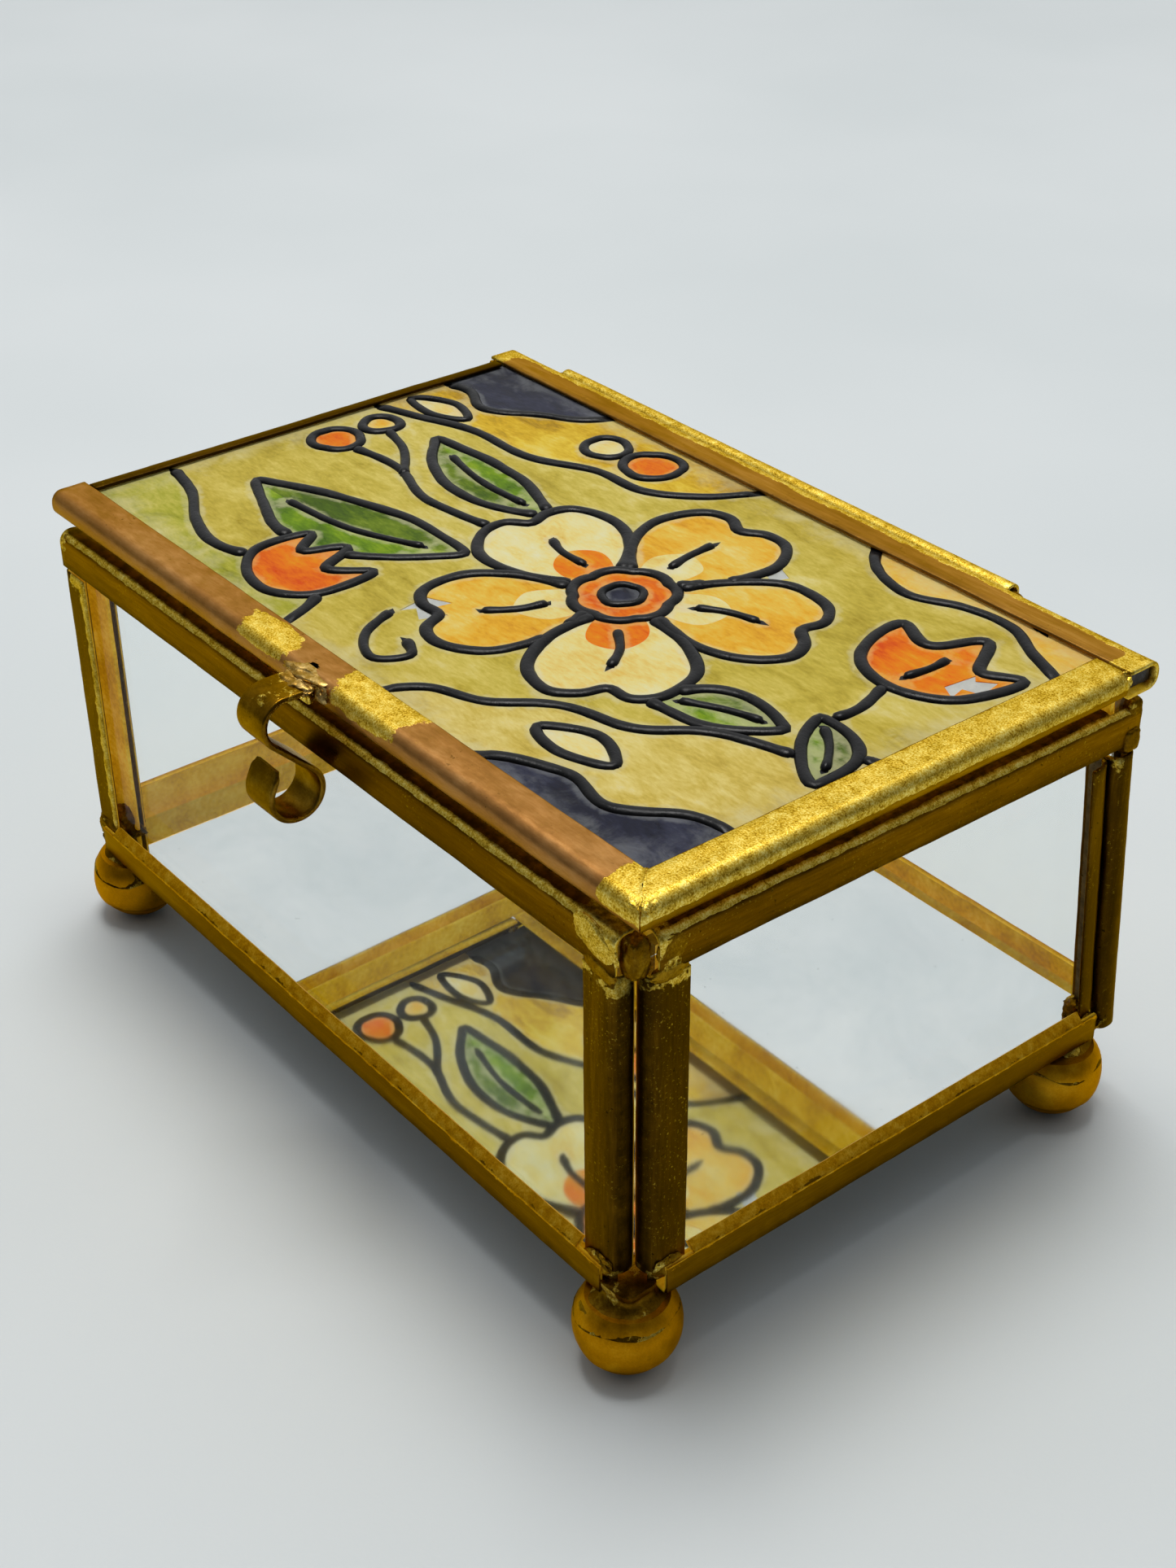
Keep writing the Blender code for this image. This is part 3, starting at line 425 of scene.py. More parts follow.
# ======================================================================================
# Mesh helpers
# ======================================================================================
def make(name, verts, faces, mats, body, replaces=(), gold=None, grime_and_shade=None, lined_glow=None,
         face_mats=None, smooth=True, angle=50.0):
    """Turn millimetre vertices into a named piece that rides on a body."""
    verts = np.asarray(verts, float)
    mesh = bpy.data.meshes.new(name)
    placed = np.clip((verts + (0, ORIGIN_Y, 0)) * MM, CAD_BOX[0], CAD_BOX[1])
    mesh.from_pydata([tuple(v) for v in placed], [], faces)
    for m in mats:
        mesh.materials.append(m)
    if face_mats is not None:
        mesh.polygons.foreach_set("material_index", np.asarray(face_mats, np.int32))
    bm = bmesh.new()
    bm.from_mesh(mesh)
    bmesh.ops.recalc_face_normals(bm, faces=bm.faces)
    bm.to_mesh(mesh)
    bm.free()
    if smooth:
        mesh.shade_smooth()
        mesh.set_sharp_from_angle(angle=math.radians(angle))
    for key, values in (("gold", gold), ("grime_and_shade", grime_and_shade), ("lined_glow", lined_glow)):
        if values is not None:
            a = mesh.attributes.new(key, "FLOAT", "POINT")
            a.data.foreach_set("value", np.asarray(values, np.float32))
    mesh.update()
    obj = bpy.data.objects.new(name, mesh)
    bpy.context.scene.collection.objects.link(obj)
    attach(obj, body)
    if replaces:
        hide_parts(*replaces)
    return obj


def step(a, b, v):
    """Smooth 0..1 between a and b."""
    t = np.clip((np.asarray(v, float) - a) / (b - a), 0.0, 1.0)
    return t * t * (3 - 2 * t)


def wander(points, amount, size, seed):
    """Push points by a smooth random field: amount in mm, size of a bump in mm."""
    shift = Vector((seed * 13.7, seed * 7.3, seed * 3.9))
    push = [noise.noise_vector(Vector(p) / size + shift) for p in points]
    return points + amount * np.array(push)


def fuzz(points, size, seed):
    shift = Vector((seed * 11.1, seed * 4.7, seed * 8.3))
    return np.array([noise.noise(Vector(p) / size + shift) for p in points])


def densify(outline, pitch):
    out = []
    for i, a in enumerate(outline):
        b = outline[(i + 1) % len(outline)]
        n = max(1, int(round(math.dist(a, b) / pitch)))
        for k in range(n):
            out.append((a[0] + (b[0] - a[0]) * k / n, a[1] + (b[1] - a[1]) * k / n))
    return np.array(out)


def arc(cx, cy, r, a0, a1, n):
    return [(cx + r * math.cos(math.radians(a0 + (a1 - a0) * i / n)),
             cy + r * math.sin(math.radians(a0 + (a1 - a0) * i / n))) for i in range(n + 1)]


def channel_outline(width=CAME_W, thick=CAME_T, radius=CAME_R, pitch=0.55):
    """Closed outline (depth, height) of a folded channel with rolled lips."""
    radius = min(radius, width - 0.3)
    ri = max(radius - SHEET, 0.12)
    h = SHEET / 2
    o = arc(width - h, h, h, 0, -90, 3)
    o += arc(radius, radius, radius, -90, -180, 7)
    o += arc(radius, thick - radius, radius, 180, 90, 7)
    o += arc(width - h, thick - h, h, 90, -90, 6)
    o += arc(SHEET + ri, thick - SHEET - ri, ri, 90, 180, 5)
    o += arc(SHEET + ri, SHEET + ri, ri, 180, 270, 5)
    o += arc(width - h, h, h, 90, 30, 2)
    return densify(o, pitch)


def angle_outline(width, flip, pitch=0.55):
    """Closed outline of an upright angle: a web at depth 0 and one flange."""
    r = min(CAME_R, width - 0.15)
    ri = r - SHEET
    h = SHEET / 2
    o = arc(h, h, h, -90, -180, 3)
    o += arc(r, CAME_T - r, r, 180, 90, 7)
    if width - h > r:
        o += arc(width - h, CAME_T - h, h, 90, -90, 6)
    else:
        o += [(width, CAME_T), (width, CAME_T - SHEET)]
    o += arc(r, CAME_T - r, ri, 90, 180, 5)
    o += arc(h, h, h, 0, -60, 2)
    o = densify(o, pitch)
    if flip:
        o[:, 1] = CAME_T - o[:, 1]
    return o


def tray_outline(side, pitch=0.45):
    """Closed outline of a tray rail: lower flange, upright side and inward shoulder."""
    f = SHEET / math.sqrt(2)
    o = [(SHOULDER, side + SHOULDER), (0.10, side + 0.10), (0.02, side - 0.02), (0.0, side - 0.12)]
    o += arc(BASE_R, BASE_R, BASE_R, 180, 270, 5)
    o += arc(CAME_W - 0.2, 0.2, 0.2, -90, 90, 4)
    r = BASE_R - SHEET
    o += arc(BASE_R, BASE_R, r, 270, 180, 4)
    o += [(SHEET, side + SHEET - 2 * f), (SHOULDER + f, side + SHOULDER - f)]
    return densify(o, pitch)


def inset(outline, by):
    """Outline moved inward, for the softened ends of a cut sheet."""
    nxt, prv = np.roll(outline, -1, 0), np.roll(outline, 1, 0)
    t = nxt - prv
    n = np.stack([-t[:, 1], t[:, 0]], 1)
    n /= np.maximum(np.linalg.norm(n, axis=1, keepdims=True), 1e-9)
    area = np.sum(outline[:, 0] * nxt[:, 1] - nxt[:, 0] * outline[:, 1])
    return outline + by * n * (1 if area > 0 else -1)


def sweep(outline, x0, x1, pitch=0.75, mitre0=0.0, mitre1=0.0, bend=None, soft=0.07):
    """Local vertices (along, depth, height) and faces of an outline drawn out along X."""
    n = max(6, int(round((x1 - x0) / pitch)))
    tucked = inset(outline, soft)
    stations = [(0.0, tucked, 0.0), (0.0, outline, soft)]
    stations += [(i / n, outline, 0.0) for i in range(1, n)]
    stations += [(1.0, outline, -soft), (1.0, tucked, 0.0)]
    verts = []
    for f, o, shift in stations:
        x = (x0 + o[:, 0] * mitre0) * (1 - f) + (x1 - o[:, 0] * mitre1) * f + shift
        d = o[:, 0] + (np.array([bend(v) for v in x]) if bend else 0.0)
        verts.append(np.stack([x, d, o[:, 1]], 1))
    m = len(outline)
    faces = []
    for s in range(len(stations) - 1):
        a, b = s * m, (s + 1) * m
        for i in range(m):
            j = (i + 1) % m
            faces.append((a + i, a + j, b + j, b + i))
    faces.append(tuple(range(m)))
    faces.append(tuple(range((len(stations) - 1) * m + m - 1, (len(stations) - 1) * m - 1, -1)))
    return np.concatenate(verts), faces


def lie(origin, along, depth, height):
    """Where a local (along, depth, height) frame lies in the box."""
    return np.array(origin, float), np.stack([along, depth, height]).astype(float)


def to_box(where, local):
    return where[0] + local @ where[1]


def to_local(where, points):
    return (points - where[0]) @ where[1].T


UP_BACK = np.array((0.0, -math.sin(BACK_LEAN), math.cos(BACK_LEAN)))
OUT_BACK = np.array((0.0, math.cos(BACK_LEAN), math.sin(BACK_LEAN)))
BACK_ORIGIN = np.array((0.0, BACK_FOOT_Y, BACK_FOOT_Z))


def behind(depth, z):
    up = (z - BACK_FOOT_Z + depth * math.sin(BACK_LEAN)) / math.cos(BACK_LEAN)
    return BACK_FOOT_Y - depth * math.cos(BACK_LEAN) - up * math.sin(BACK_LEAN)


def cut_away(verts, faces, cutters):
    """Trim a closed mesh with boxes given as (origin, axes, low, high) in millimetres."""
    mesh = bpy.data.meshes.new("trim")
    mesh.from_pydata([tuple(v) for v in verts], [], faces)
    bm = bmesh.new()
    bm.from_mesh(mesh)
    bmesh.ops.recalc_face_normals(bm, faces=bm.faces)
    bm.to_mesh(mesh)
    bm.free()
    obj = bpy.data.objects.new("trim", mesh)
    bpy.context.scene.collection.objects.link(obj)
    tools = []
    for (origin, axes), low, high in cutters:
        bm = bmesh.new()
        bmesh.ops.create_cube(bm, size=1.0)
        low, high = np.minimum(low, high), np.maximum(low, high)
        for v in bm.verts:
            v.co = Vector(origin + (low + (np.array(v.co) + 0.5) * (high - low)) @ axes)
        bmesh.ops.recalc_face_normals(bm, faces=bm.faces)
        box = bpy.data.meshes.new("trim_box")
        bm.to_mesh(box)
        bm.free()
        tool = bpy.data.objects.new("trim_box", box)
        bpy.context.scene.collection.objects.link(tool)
        tools.append(tool)
        mod = obj.modifiers.new("trim", "BOOLEAN")
        mod.operation, mod.solver, mod.object = "DIFFERENCE", "EXACT", tool
    graph = bpy.context.evaluated_depsgraph_get()
    done = obj.evaluated_get(graph).to_mesh()
    v = np.array([tuple(p.co) for p in done.vertices])
    f = [tuple(p.vertices) for p in done.polygons]
    obj.evaluated_get(graph).to_mesh_clear()
    for o in (obj, *tools):
        bpy.data.objects.remove(o, do_unlink=True)
    return v, f


BOX_AXES = (np.zeros(3), np.eye(3))
SEED = [0]


def rail(name, where, outline, x0, x1, mat, body, gold=None, grime_and_shade=None, cutters=(),
         shake=0.045, sweep_args=None, lined_glow=None):
    """One folded channel, post or tray rail, standing for its solid."""
    SEED[0] += 1
    local, faces = sweep(outline, x0, x1, **(sweep_args or {}))
    verts = to_box(where, local)
    if cutters:
        verts, faces = cut_away(verts, faces, cutters)
        local = to_local(where, verts)
    a, d, h = local.T
    gold_v = np.zeros(len(local)) if gold is None else np.clip(gold(a, d, h, verts), 0, 1)
    grime_v = np.zeros(len(local)) if grime_and_shade is None else np.clip(grime_and_shade(a, d, h, verts), 0, 1)
    lined_glow_v = np.zeros(len(local)) if lined_glow is None else np.clip(lined_glow(a, d, h), 0, 1)
    verts = wander(verts, shake, 7.0, SEED[0])
    verts = wander(verts, shake * 0.45, 1.6, SEED[0] + 50)
    return make(name, verts, faces, [mat], body, (name.replace("_brass", ""),), gold_v, grime_v, lined_glow_v)


def near(v, at, width):
    """1 at a place along a rail, falling to 0 a width away."""
    return 1.0 - step(0.0, width, np.abs(v - at))


def both_ends(a, x0, x1, reach):
    return np.maximum(1 - step(reach * 0.5, reach, a - x0), 1 - step(reach * 0.5, reach, x1 - a))


# ======================================================================================
# Lid frame
# ======================================================================================
half_gap = GAP / math.sqrt(2)
CHANNEL = channel_outline()


def lip_dirt(width):
    return lambda a, d, h, p: 0.55 * step(width - 0.55, width - 0.05, d)


def inner_gold(h, d, under=0.30):
    """The faces that look into the box never tarnished."""
    return 0.95 * (1 - step(under, under + 0.25, h)) * step(0.9, 1.5, d)


# underside faces of the lid rails, where the coat glows as painted light
def under_lid(a, d, h):
    return (1 - step(0.30, 0.55, h)) * step(0.9, 1.5, d)


def front_gold(a, d, h, p):
    top = step(1.2, 2.2, h) * (1 - step(3.1, 3.65, d))
    left = near(a, -7.2, 6.4) * top * 1.15
    right = near(a, 8.0, 9.5) * step(0.6, 2.0, h) * 1.1
    end = step(37.6, 39.4, a) * step(0.5, 1.4, h) * 1.05
    face = 0.55 * near(a, 0.0, 9.0) * (1 - step(0.4, 1.4, h))
    return np.maximum.reduce([left, right, end, face, 0.15 * near(a, 27, 8), inner_gold(h, d)])


def front_grime(a, d, h, p):
    low = 0.62 * (1 - step(0.05, 1.0, h)) * (1 - step(0.4, 1.2, d))
    return low + 0.5 * step(3.5, 3.7, d) * step(1.3, 2.0, h)


rail("lid_rail_front_brass", lie((0, -LID_Y, LID_Z0), X, Y, Z), CHANNEL, -LID_X, LID_X - 0.04,
     COPPER, "lid", front_gold, front_grime, sweep_args={"mitre1": 1.0}, lined_glow=under_lid)
side_end = LID_BACK - CAME_W - GAP
rail("lid_rail_right_brass", lie((LID_X, 0, LID_Z0), Y, -X, Z), CHANNEL, -LID_Y + 0.04, side_end,
     LID_GOLD, "lid",
     lambda a, d, h, p: np.maximum(step(0.9, 1.7, h) * 1.05 * (1 - 0.8 * step(3.35, 3.6, d)) + 0.12, inner_gold(h, d)),
     lambda a, d, h, p: 0.55 * (1 - step(0.0, 0.7, h)) * (1 - step(0.3, 1.2, d)) + 0.6 * step(3.45, 3.7, d) * step(1.3, 2.0, h),
     sweep_args={"mitre0": 1.0}, lined_glow=under_lid)
rail("lid_rail_left_brass", lie((-LID_X, 0, LID_Z0), -Y, X, Z), channel_outline(LID_LEFT_W), -side_end,
     LID_Y - CAME_W - 0.05, LID_DARK, "lid",
     lambda a, d, h, p: np.maximum(0.30 * step(21.0, 23.5, a), inner_gold(h, d)),
     lambda a, d, h, p: 0.4 * step(LID_LEFT_W - 0.8, LID_LEFT_W, d) * step(1.3, 2.0, h) + 0.15, lined_glow=under_lid)
rail("lid_rail_back_brass", lie((0, LID_BACK, LID_Z0), -X, -Y, Z), CHANNEL, -LID_BACK_X1, -LID_BACK_X0,
     LID_BROWN, "lid",
     lambda a, d, h, p: np.maximum.reduce([0.9 * step(1.4, 2.4, h) * (1 - step(0.9, 1.9, d)), both_ends(a, -43, 43.6, 3.0) * 0.9,
                                           inner_gold(h, d)]),
     lambda a, d, h, p: 0.55 * step(CAME_W - 0.55, CAME_W - 0.05, d) * step(1.3, 2.0, h), lined_glow=under_lid)


# ---- hinge tube: rolled from sheet, with the seam at the back -----------------------------
def tube_outline():
    out = arc(0, 0, HINGE_R, -110, 205, 26)
    inner = arc(0, 0, HINGE_BORE, 205, -110, 22)
    return np.array(out + inner)


# gold film over the upper half of the tube: a painted highlight along its top
def tube_top_highlight(a, d, h, p):
    return 0.75 * step(0.0, 0.7, h) + 0.2


tube_where = lie((0, HINGE_Y, HINGE_Z), X, Y, Z)
# the tube is darker along its lower half: painted shade
rail("hinge_tube_brass", tube_where, tube_outline(), TUBE_X0, TUBE_X1, HINGE, "lid", tube_top_highlight,
     lambda a, d, h, p: 0.5 * (1 - step(-0.9, -0.2, h)), shake=0.03)


# ---- catch: a springy strip bent into an S -------------------------------------------------
def catch_path(fine):
    dx, dz = LOWER_A - UPPER_A, LOWER_Z - UPPER_Z
    lean = math.asin((UPPER_R + LOWER_R) / math.hypot(dx, dz))
    run = math.atan2(dz, dx) - lean
    upper_end, lower_start = run + math.pi / 2, run - math.pi / 2
    crown = UPPER_Z + UPPER_R
    pts = [(ROOT_A, ROOT_Z + (crown - ROOT_R - ROOT_Z) * i / 4) for i in range(4)]
    for i in range(11):
        a = math.pi - math.pi / 2 * i / 10
        pts.append((ROOT_A + ROOT_R + ROOT_R * math.cos(a), crown - ROOT_R + ROOT_R * math.sin(a)))
    flat = pts[-1][0]
    pts += [(flat + (UPPER_A - flat) * i / 5, crown) for i in range(1, 5)]
    sweep_up = (math.pi / 2 - upper_end) % (2 * math.pi)
    for i in range(fine + 1):
        a = math.pi / 2 - sweep_up * i / fine
        pts.append((UPPER_A + UPPER_R * math.cos(a), UPPER_Z + UPPER_R * math.sin(a)))
    tip = math.radians(TIP_ANGLE)
    sweep_low = (tip - lower_start) % (2 * math.pi)
    low = []
    for i in range(fine + 1):
        a = lower_start + sweep_low * i / fine
        low.append((LOWER_A + LOWER_R * math.cos(a), LOWER_Z + LOWER_R * math.sin(a)))
    last = pts[-1]
    pts += [(last[0] + (low[0][0] - last[0]) * k / 5, last[1] + (low[0][1] - last[1]) * k / 5) for k in range(1, 5)]
    pts += low
    end = pts[-1]
    pts += [(end[0] - TIP_LENGTH * k / 6 * math.sin(tip), end[1] + TIP_LENGTH * k / 6 * math.cos(tip)) for k in range(1, 7)]
    return [(-LID_Y - a, z) for a, z in pts]


def build_catch():
    path = catch_path(40)
    h = CATCH_T / 2
    section = []
    for cx, s in ((CATCH_W / 2 - 0.2, 1), (-CATCH_W / 2 + 0.2, -1)):
        base = -90 if s > 0 else 90
        section += [(cx + 0.2 * math.cos(math.radians(base + 18 * i)), h * math.sin(math.radians(base + 18 * i)))
                    for i in range(11)]
    section = densify(section, 0.6)
    verts, along = [], []
    total = len(path)
    for i, p in enumerate(path):
        b, a = path[max(i - 1, 0)], path[min(i + 1, total - 1)]
        t = np.array((a[0] - b[0], a[1] - b[1]))
        t /= np.linalg.norm(t)
        n = np.array((-t[1], t[0]))
        f = i / (total - 1)
        wide = 1.0 + 0.03 * step(0.2, 0.3, f) - 0.05 * step(0.55, 0.8, f) - 0.20 * step(0.975, 1.0, f)
        thin = 1.0 - 0.25 * step(0.97, 1.0, f)
        for u, v in section:
            q = np.array(p) + n * v * thin
            verts.append((CATCH_X + u * wide, q[0], q[1]))
            along.append(f)
    m = len(section)
    faces = []
    for s in range(total - 1):
        for i in range(m):
            j = (i + 1) % m
            faces.append((s * m + i, s * m + j, (s + 1) * m + j, (s + 1) * m + i))
    faces.append(tuple(range(m)))
    faces.append(tuple(range((total - 1) * m + m - 1, (total - 1) * m - 1, -1)))
    verts, along = np.array(verts), np.array(along)
    outer = np.tile([1.0 if v > 0 else 0.0 for _, v in section], total)
    # the strip's inner face gets less gold and more darkening near the root and round the upper loop: painted shade
    # inside the loop; the strip also grows darker from the back of the upper loop down through the lower loop
    gold = 0.98 * (1 - step(0.30, 0.40, along)) * (0.35 + 0.65 * outer) + 0.25 * near(along, 0.62, 0.1)
    grime_and_shade = 0.30 * step(0.36, 0.5, along) + 0.25 * step(0.55, 0.75, along) + 0.35 * (1 - outer) * (1 - step(0.2, 0.5, along))
    verts = wander(verts, 0.05, 3.0, 71)
    make("lid_catch_strip", verts, faces, [CATCH], "lid", ("lid_catch",), gold, grime_and_shade)


build_catch()


# ======================================================================================
# Wall frames
# ======================================================================================
def lined_glow(d, h):
    """1 on the faces that grip or look past the glass, where the coat glows as painted light; 0 on the face turned
    outward.
    """
    skin = CAME_R - np.hypot(np.maximum(CAME_R - d, 0), np.maximum(CAME_R - h, 0))
    return step(0.16, 0.30, skin)


def rail_darkening(a, d, h, p):
    # painted shade on the top face under the lid, and the outer face darker toward the lower lip
    outside = 1 - lined_glow(d, h)
    top = 0.92 * (1 - step(0.14, 0.26, d)) * step(0.42, 0.66, h)
    return np.maximum((0.75 * step(CAME_W - 0.55, CAME_W - 0.1, d) + 0.22 * step(1.2, 2.6, d)) * outside, top)


def shoulder_highlight(d, h):
    """Gold film along the rounded outer shoulder of a top rail: a painted highlight."""
    return 1.25 * (1 - step(0.42, 0.74, d)) * (1 - step(0.54, 0.76, h))


# faces of a channel where the coat glows as painted light
def channel_glow_lining(a, d, h):
    return lined_glow(d, h)


rail("front_top_rail_brass", lie((0, -WALL_Y, WALL_TOP), X, -Z, Y), CHANNEL, -FRONT_RAIL_LEFT, FRONT_POST_X,
     RAIL_X, "box_body",
     lambda a, d, h, p: np.maximum.reduce([shoulder_highlight(d, h), 1.0 * step(34.6, 37.0, a) * (1 - step(1.6, 3.0, d)),
                                           0.34 * step(33.0, 38.0, a), 0.5 * (1 - step(-42.5, -40.5, a)), 0.97 * lined_glow(d, h)]),
     rail_darkening, lined_glow=channel_glow_lining)
SIDE_RAIL_Y0 = -WALL_Y + CAME_T + GAP


def side_drop(y):
    return SIDE_DROP * (y - SIDE_RAIL_Y0) / (TAB_END - SIDE_RAIL_Y0)


tab_start = behind(CAME_T + GAP, SIDE_TOP)
for sx, side in ((1, "right"), (-1, "left")):
    where = lie((sx * WALL_X, 0, SIDE_TOP), Y, -Z, -sx * X)
    rail(f"{side}_top_rail_brass", where, CHANNEL, SIDE_RAIL_Y0, TAB_END, RAIL_Y, "box_body",
         lambda a, d, h, p: np.maximum.reduce([shoulder_highlight(d - side_drop(a), h), 0.55 * (1 - step(-23.5, -20.5, a)),
                                               0.20 * step(20.0, 26.0, a), 0.97 * lined_glow(d - side_drop(a), h)]),
         lambda a, d, h, p: rail_darkening(a, d - side_drop(a), h, p),
         cutters=[(BOX_AXES, np.array((sx * (WALL_X - TAB), tab_start, SIDE_TOP - CAME_W - SIDE_DROP - 1)),
                   np.array((sx * (WALL_X - CAME_T - 1), TAB_END + 1, SIDE_TOP + 1)))],
         sweep_args={"bend": side_drop}, lined_glow=lambda a, d, h: lined_glow(d - side_drop(a), h))

BACK_AXES = (BACK_ORIGIN, np.stack([X, OUT_BACK, UP_BACK]))
notch_x = WALL_X - TAB - GAP
rail("back_top_rail_brass", lie(BACK_ORIGIN + UP_BACK * BACK_H, X, -UP_BACK, -OUT_BACK), CHANNEL, -BACK_RAIL_X, BACK_RAIL_X,
     RAIL_X, "box_body",
     lambda a, d, h, p: np.maximum.reduce([0.7 * (1 - step(0.4, 1.6, d)), 0.3 * both_ends(a, -42.3, 42.3, 4.0), 0.97 * lined_glow(d, h)]), rail_darkening,
     cutters=[(BACK_AXES, np.array((sx * notch_x, -CAME_T - 1, BACK_H - CAME_W - 1)),
               np.array((sx * (WALL_X + 3), 1, BACK_H + 2))) for sx in (-1, 1)], lined_glow=channel_glow_lining)

# ---- corner posts --------------------------------------------------------------------------
POST_TOP = WALL_TOP - CAME_W - GAP
KEEP = 0.55


def post_gold(foot, top, bright=None, slit=0.0, inner=0.97, daub=0.55):
    """Daubs at both ends, clean metal inside, and a ragged line along the slit at the corner."""
    def f(a, d, h, p):
        parts = [daub * (1 - step(0.2, 3.6, a)), daub * step(top - foot - 4.0, top - foot - 0.4, a), inner * lined_glow(d, h),
                 slit * near(d, 0.60, 0.60), np.full_like(a, 0.06)]
        if bright is not None:
            parts.append(0.98 * step(bright, bright + 0.35, d))
        return np.maximum.reduce(parts)
    return f


def post_grime(a, d, h, p):
    outside = 1 - lined_glow(d, h)
    return (0.75 * (1 - step(0.05, 0.55, d)) + 0.30 * near(d, 0.9, 0.9) + 0.30 * step(CAME_W - 0.35, CAME_W, d) + 0.08) * outside


def dull_grime(a, d, h, p):
    return 0.18 + 0.35 * (1 - step(0.05, 0.6, d))


for sx, side in ((-1, "left"), (1, "right")):
    web = FRONT_POST_X if sx > 0 else FRONT_POST_LEFT
    width = CAME_W if sx > 0 else LEFT_POST_W
    where = lie((sx * web, -WALL_Y, POST_FOOT), Z, -sx * X, Y)
    rail(f"front_post_{side}_brass", where, channel_outline(width), 0.0, POST_TOP - POST_FOOT, POST, "box_body",
         post_gold(POST_FOOT, POST_TOP, None if sx > 0 else 3.1, 0.16 if sx > 0 else 0.0), post_grime,
         cutters=[(BOX_AXES, np.array((sx * (web + 1), -WALL_Y + KEEP, POST_FOOT - 1)),
                   np.array((sx * (web - width - 1), -WALL_Y + CAME_T + 1, WALL_FOOT)))], lined_glow=channel_glow_lining)
    web = SIDE_POST_Y if sx > 0 else LEFT_POST_Y
    width = CAME_W if sx > 0 else LEFT_SIDE_W
    top = SIDE_TOP - CAME_W - GAP - side_drop(-web + width)
    where = lie((sx * WALL_X, -web, POST_FOOT), Z, Y, -sx * X)
    outline = channel_outline(width) if sx > 0 else angle_outline(width, True)
    rail(f"{side}_post_front_brass", where, outline, 0.0, top - POST_FOOT, POST, "box_body",
         post_gold(POST_FOOT, top, None, 0.16), post_grime,
         cutters=[(BOX_AXES, np.array((sx * (WALL_X - KEEP), -web - 1, POST_FOOT - 1)),
                   np.array((sx * (WALL_X - CAME_T - 1), -web + CAME_W + 1, WALL_FOOT)))], lined_glow=channel_glow_lining)
    start = BACK_ORIGIN + OUT_BACK * (-CAME_T - GAP) + UP_BACK * 0.25
    where = lie(start + X * sx * (WALL_X - CAME_T), UP_BACK, -OUT_BACK, sx * X)
    rail(f"{side}_post_back_brass", where, angle_outline(SIDE_BACK_POST_W, False), 0.0, BACK_POST_H - 0.25, POST, "box_body",
         post_gold(0.25, BACK_POST_H, None, 0.0, 0.0, 0.35), dull_grime)
    start = BACK_ORIGIN - UP_BACK * BACK_POST_DROP
    where = lie(start + X * sx * BACK_POST_X, UP_BACK, -sx * X, -OUT_BACK)
    rail(f"back_post_{side}_brass", where, channel_outline(BACK_POST_W), 0.0, BACK_POST_H + BACK_POST_DROP, POST, "box_body",
         post_gold(-BACK_POST_DROP, BACK_POST_H, None, 0.0, 0.12, 0.35), dull_grime)


# ======================================================================================
# Tray and feet
# ======================================================================================
TRIM_Z0, TRIM_Z1 = BASE_Z0 + 1.2, BASE_Z0 + LEFT_T + 2
back_trim = behind(CAME_T + GAP + SIDE_BACK_POST_W, BASE_Z0 + BASE_T + SHOULDER) - TRIM_GAP


def tray_gold(x0, x1, side):
    """Gold inside, where the coat glows as painted light; a painted highlight along the fold; gold on the shoulder;
    dark amber on the upright side.
    """
    def f(a, d, h, p):
        within = 0.98 * tray_glow_lining(side)(a, d, h)
        fold_highlight = 0.95 * near(h, side, 0.22) * (1 - step(0.1, 0.3, d))
        shoulder = 0.92 * step(side + 0.02, side + 0.2, h)
        return np.maximum.reduce([0.25 * both_ends(a, x0, x1, 2.5), within, fold_highlight, shoulder, np.full_like(a, 0.06)])
    return f


# inner faces of a tray rail, where the coat glows as painted light
def tray_glow_lining(side):
    return lambda a, d, h: step(0.20, 0.36, d - np.maximum(h - side, 0)) * step(0.12, 0.30, h)


def tray_grime(a, d, h, p):
    return (0.70 * (1 - step(0.2, 1.5, h)) + 0.12) * (1 - step(0.2, 0.36, d))


front_cuts = []
for x0, x1 in ((FRONT_POST_X - CAME_W - TRIM_GAP, BASE_END_X + 1), (-BASE_END_LEFT - 1, -FRONT_POST_LEFT + LEFT_POST_W + TRIM_GAP)):
    front_cuts.append((BOX_AXES, np.array((x0, -BASE_FRONT + SHEET, TRIM_Z0)), np.array((x1, -BASE_FRONT + 3, TRIM_Z1))))
    front_cuts.append((BOX_AXES, np.array((x0, -BASE_FRONT - 1, BASE_Z0 + BASE_T)),
                       np.array((x1, -BASE_FRONT + SHEET + 0.1, TRIM_Z1))))
rail("base_rail_front_brass", lie((0, -BASE_FRONT, BASE_Z0), X, Y, Z), tray_outline(BASE_T), -BASE_END_LEFT, BASE_END_X,
     TRAY_X, "box_body", tray_gold(-BASE_END_LEFT, BASE_END_X, BASE_T), tray_grime, front_cuts, lined_glow=tray_glow_lining(BASE_T))
rail("base_rail_back_brass", lie((0, BASE_BACK, BASE_Z0), X, -Y, Z), tray_outline(BASE_T), -BASE_END_X + 0.6, BASE_END_X - 0.6,
     TRAY_X, "box_body", tray_gold(-BASE_END_X, BASE_END_X, BASE_T), tray_grime, lined_glow=tray_glow_lining(BASE_T))
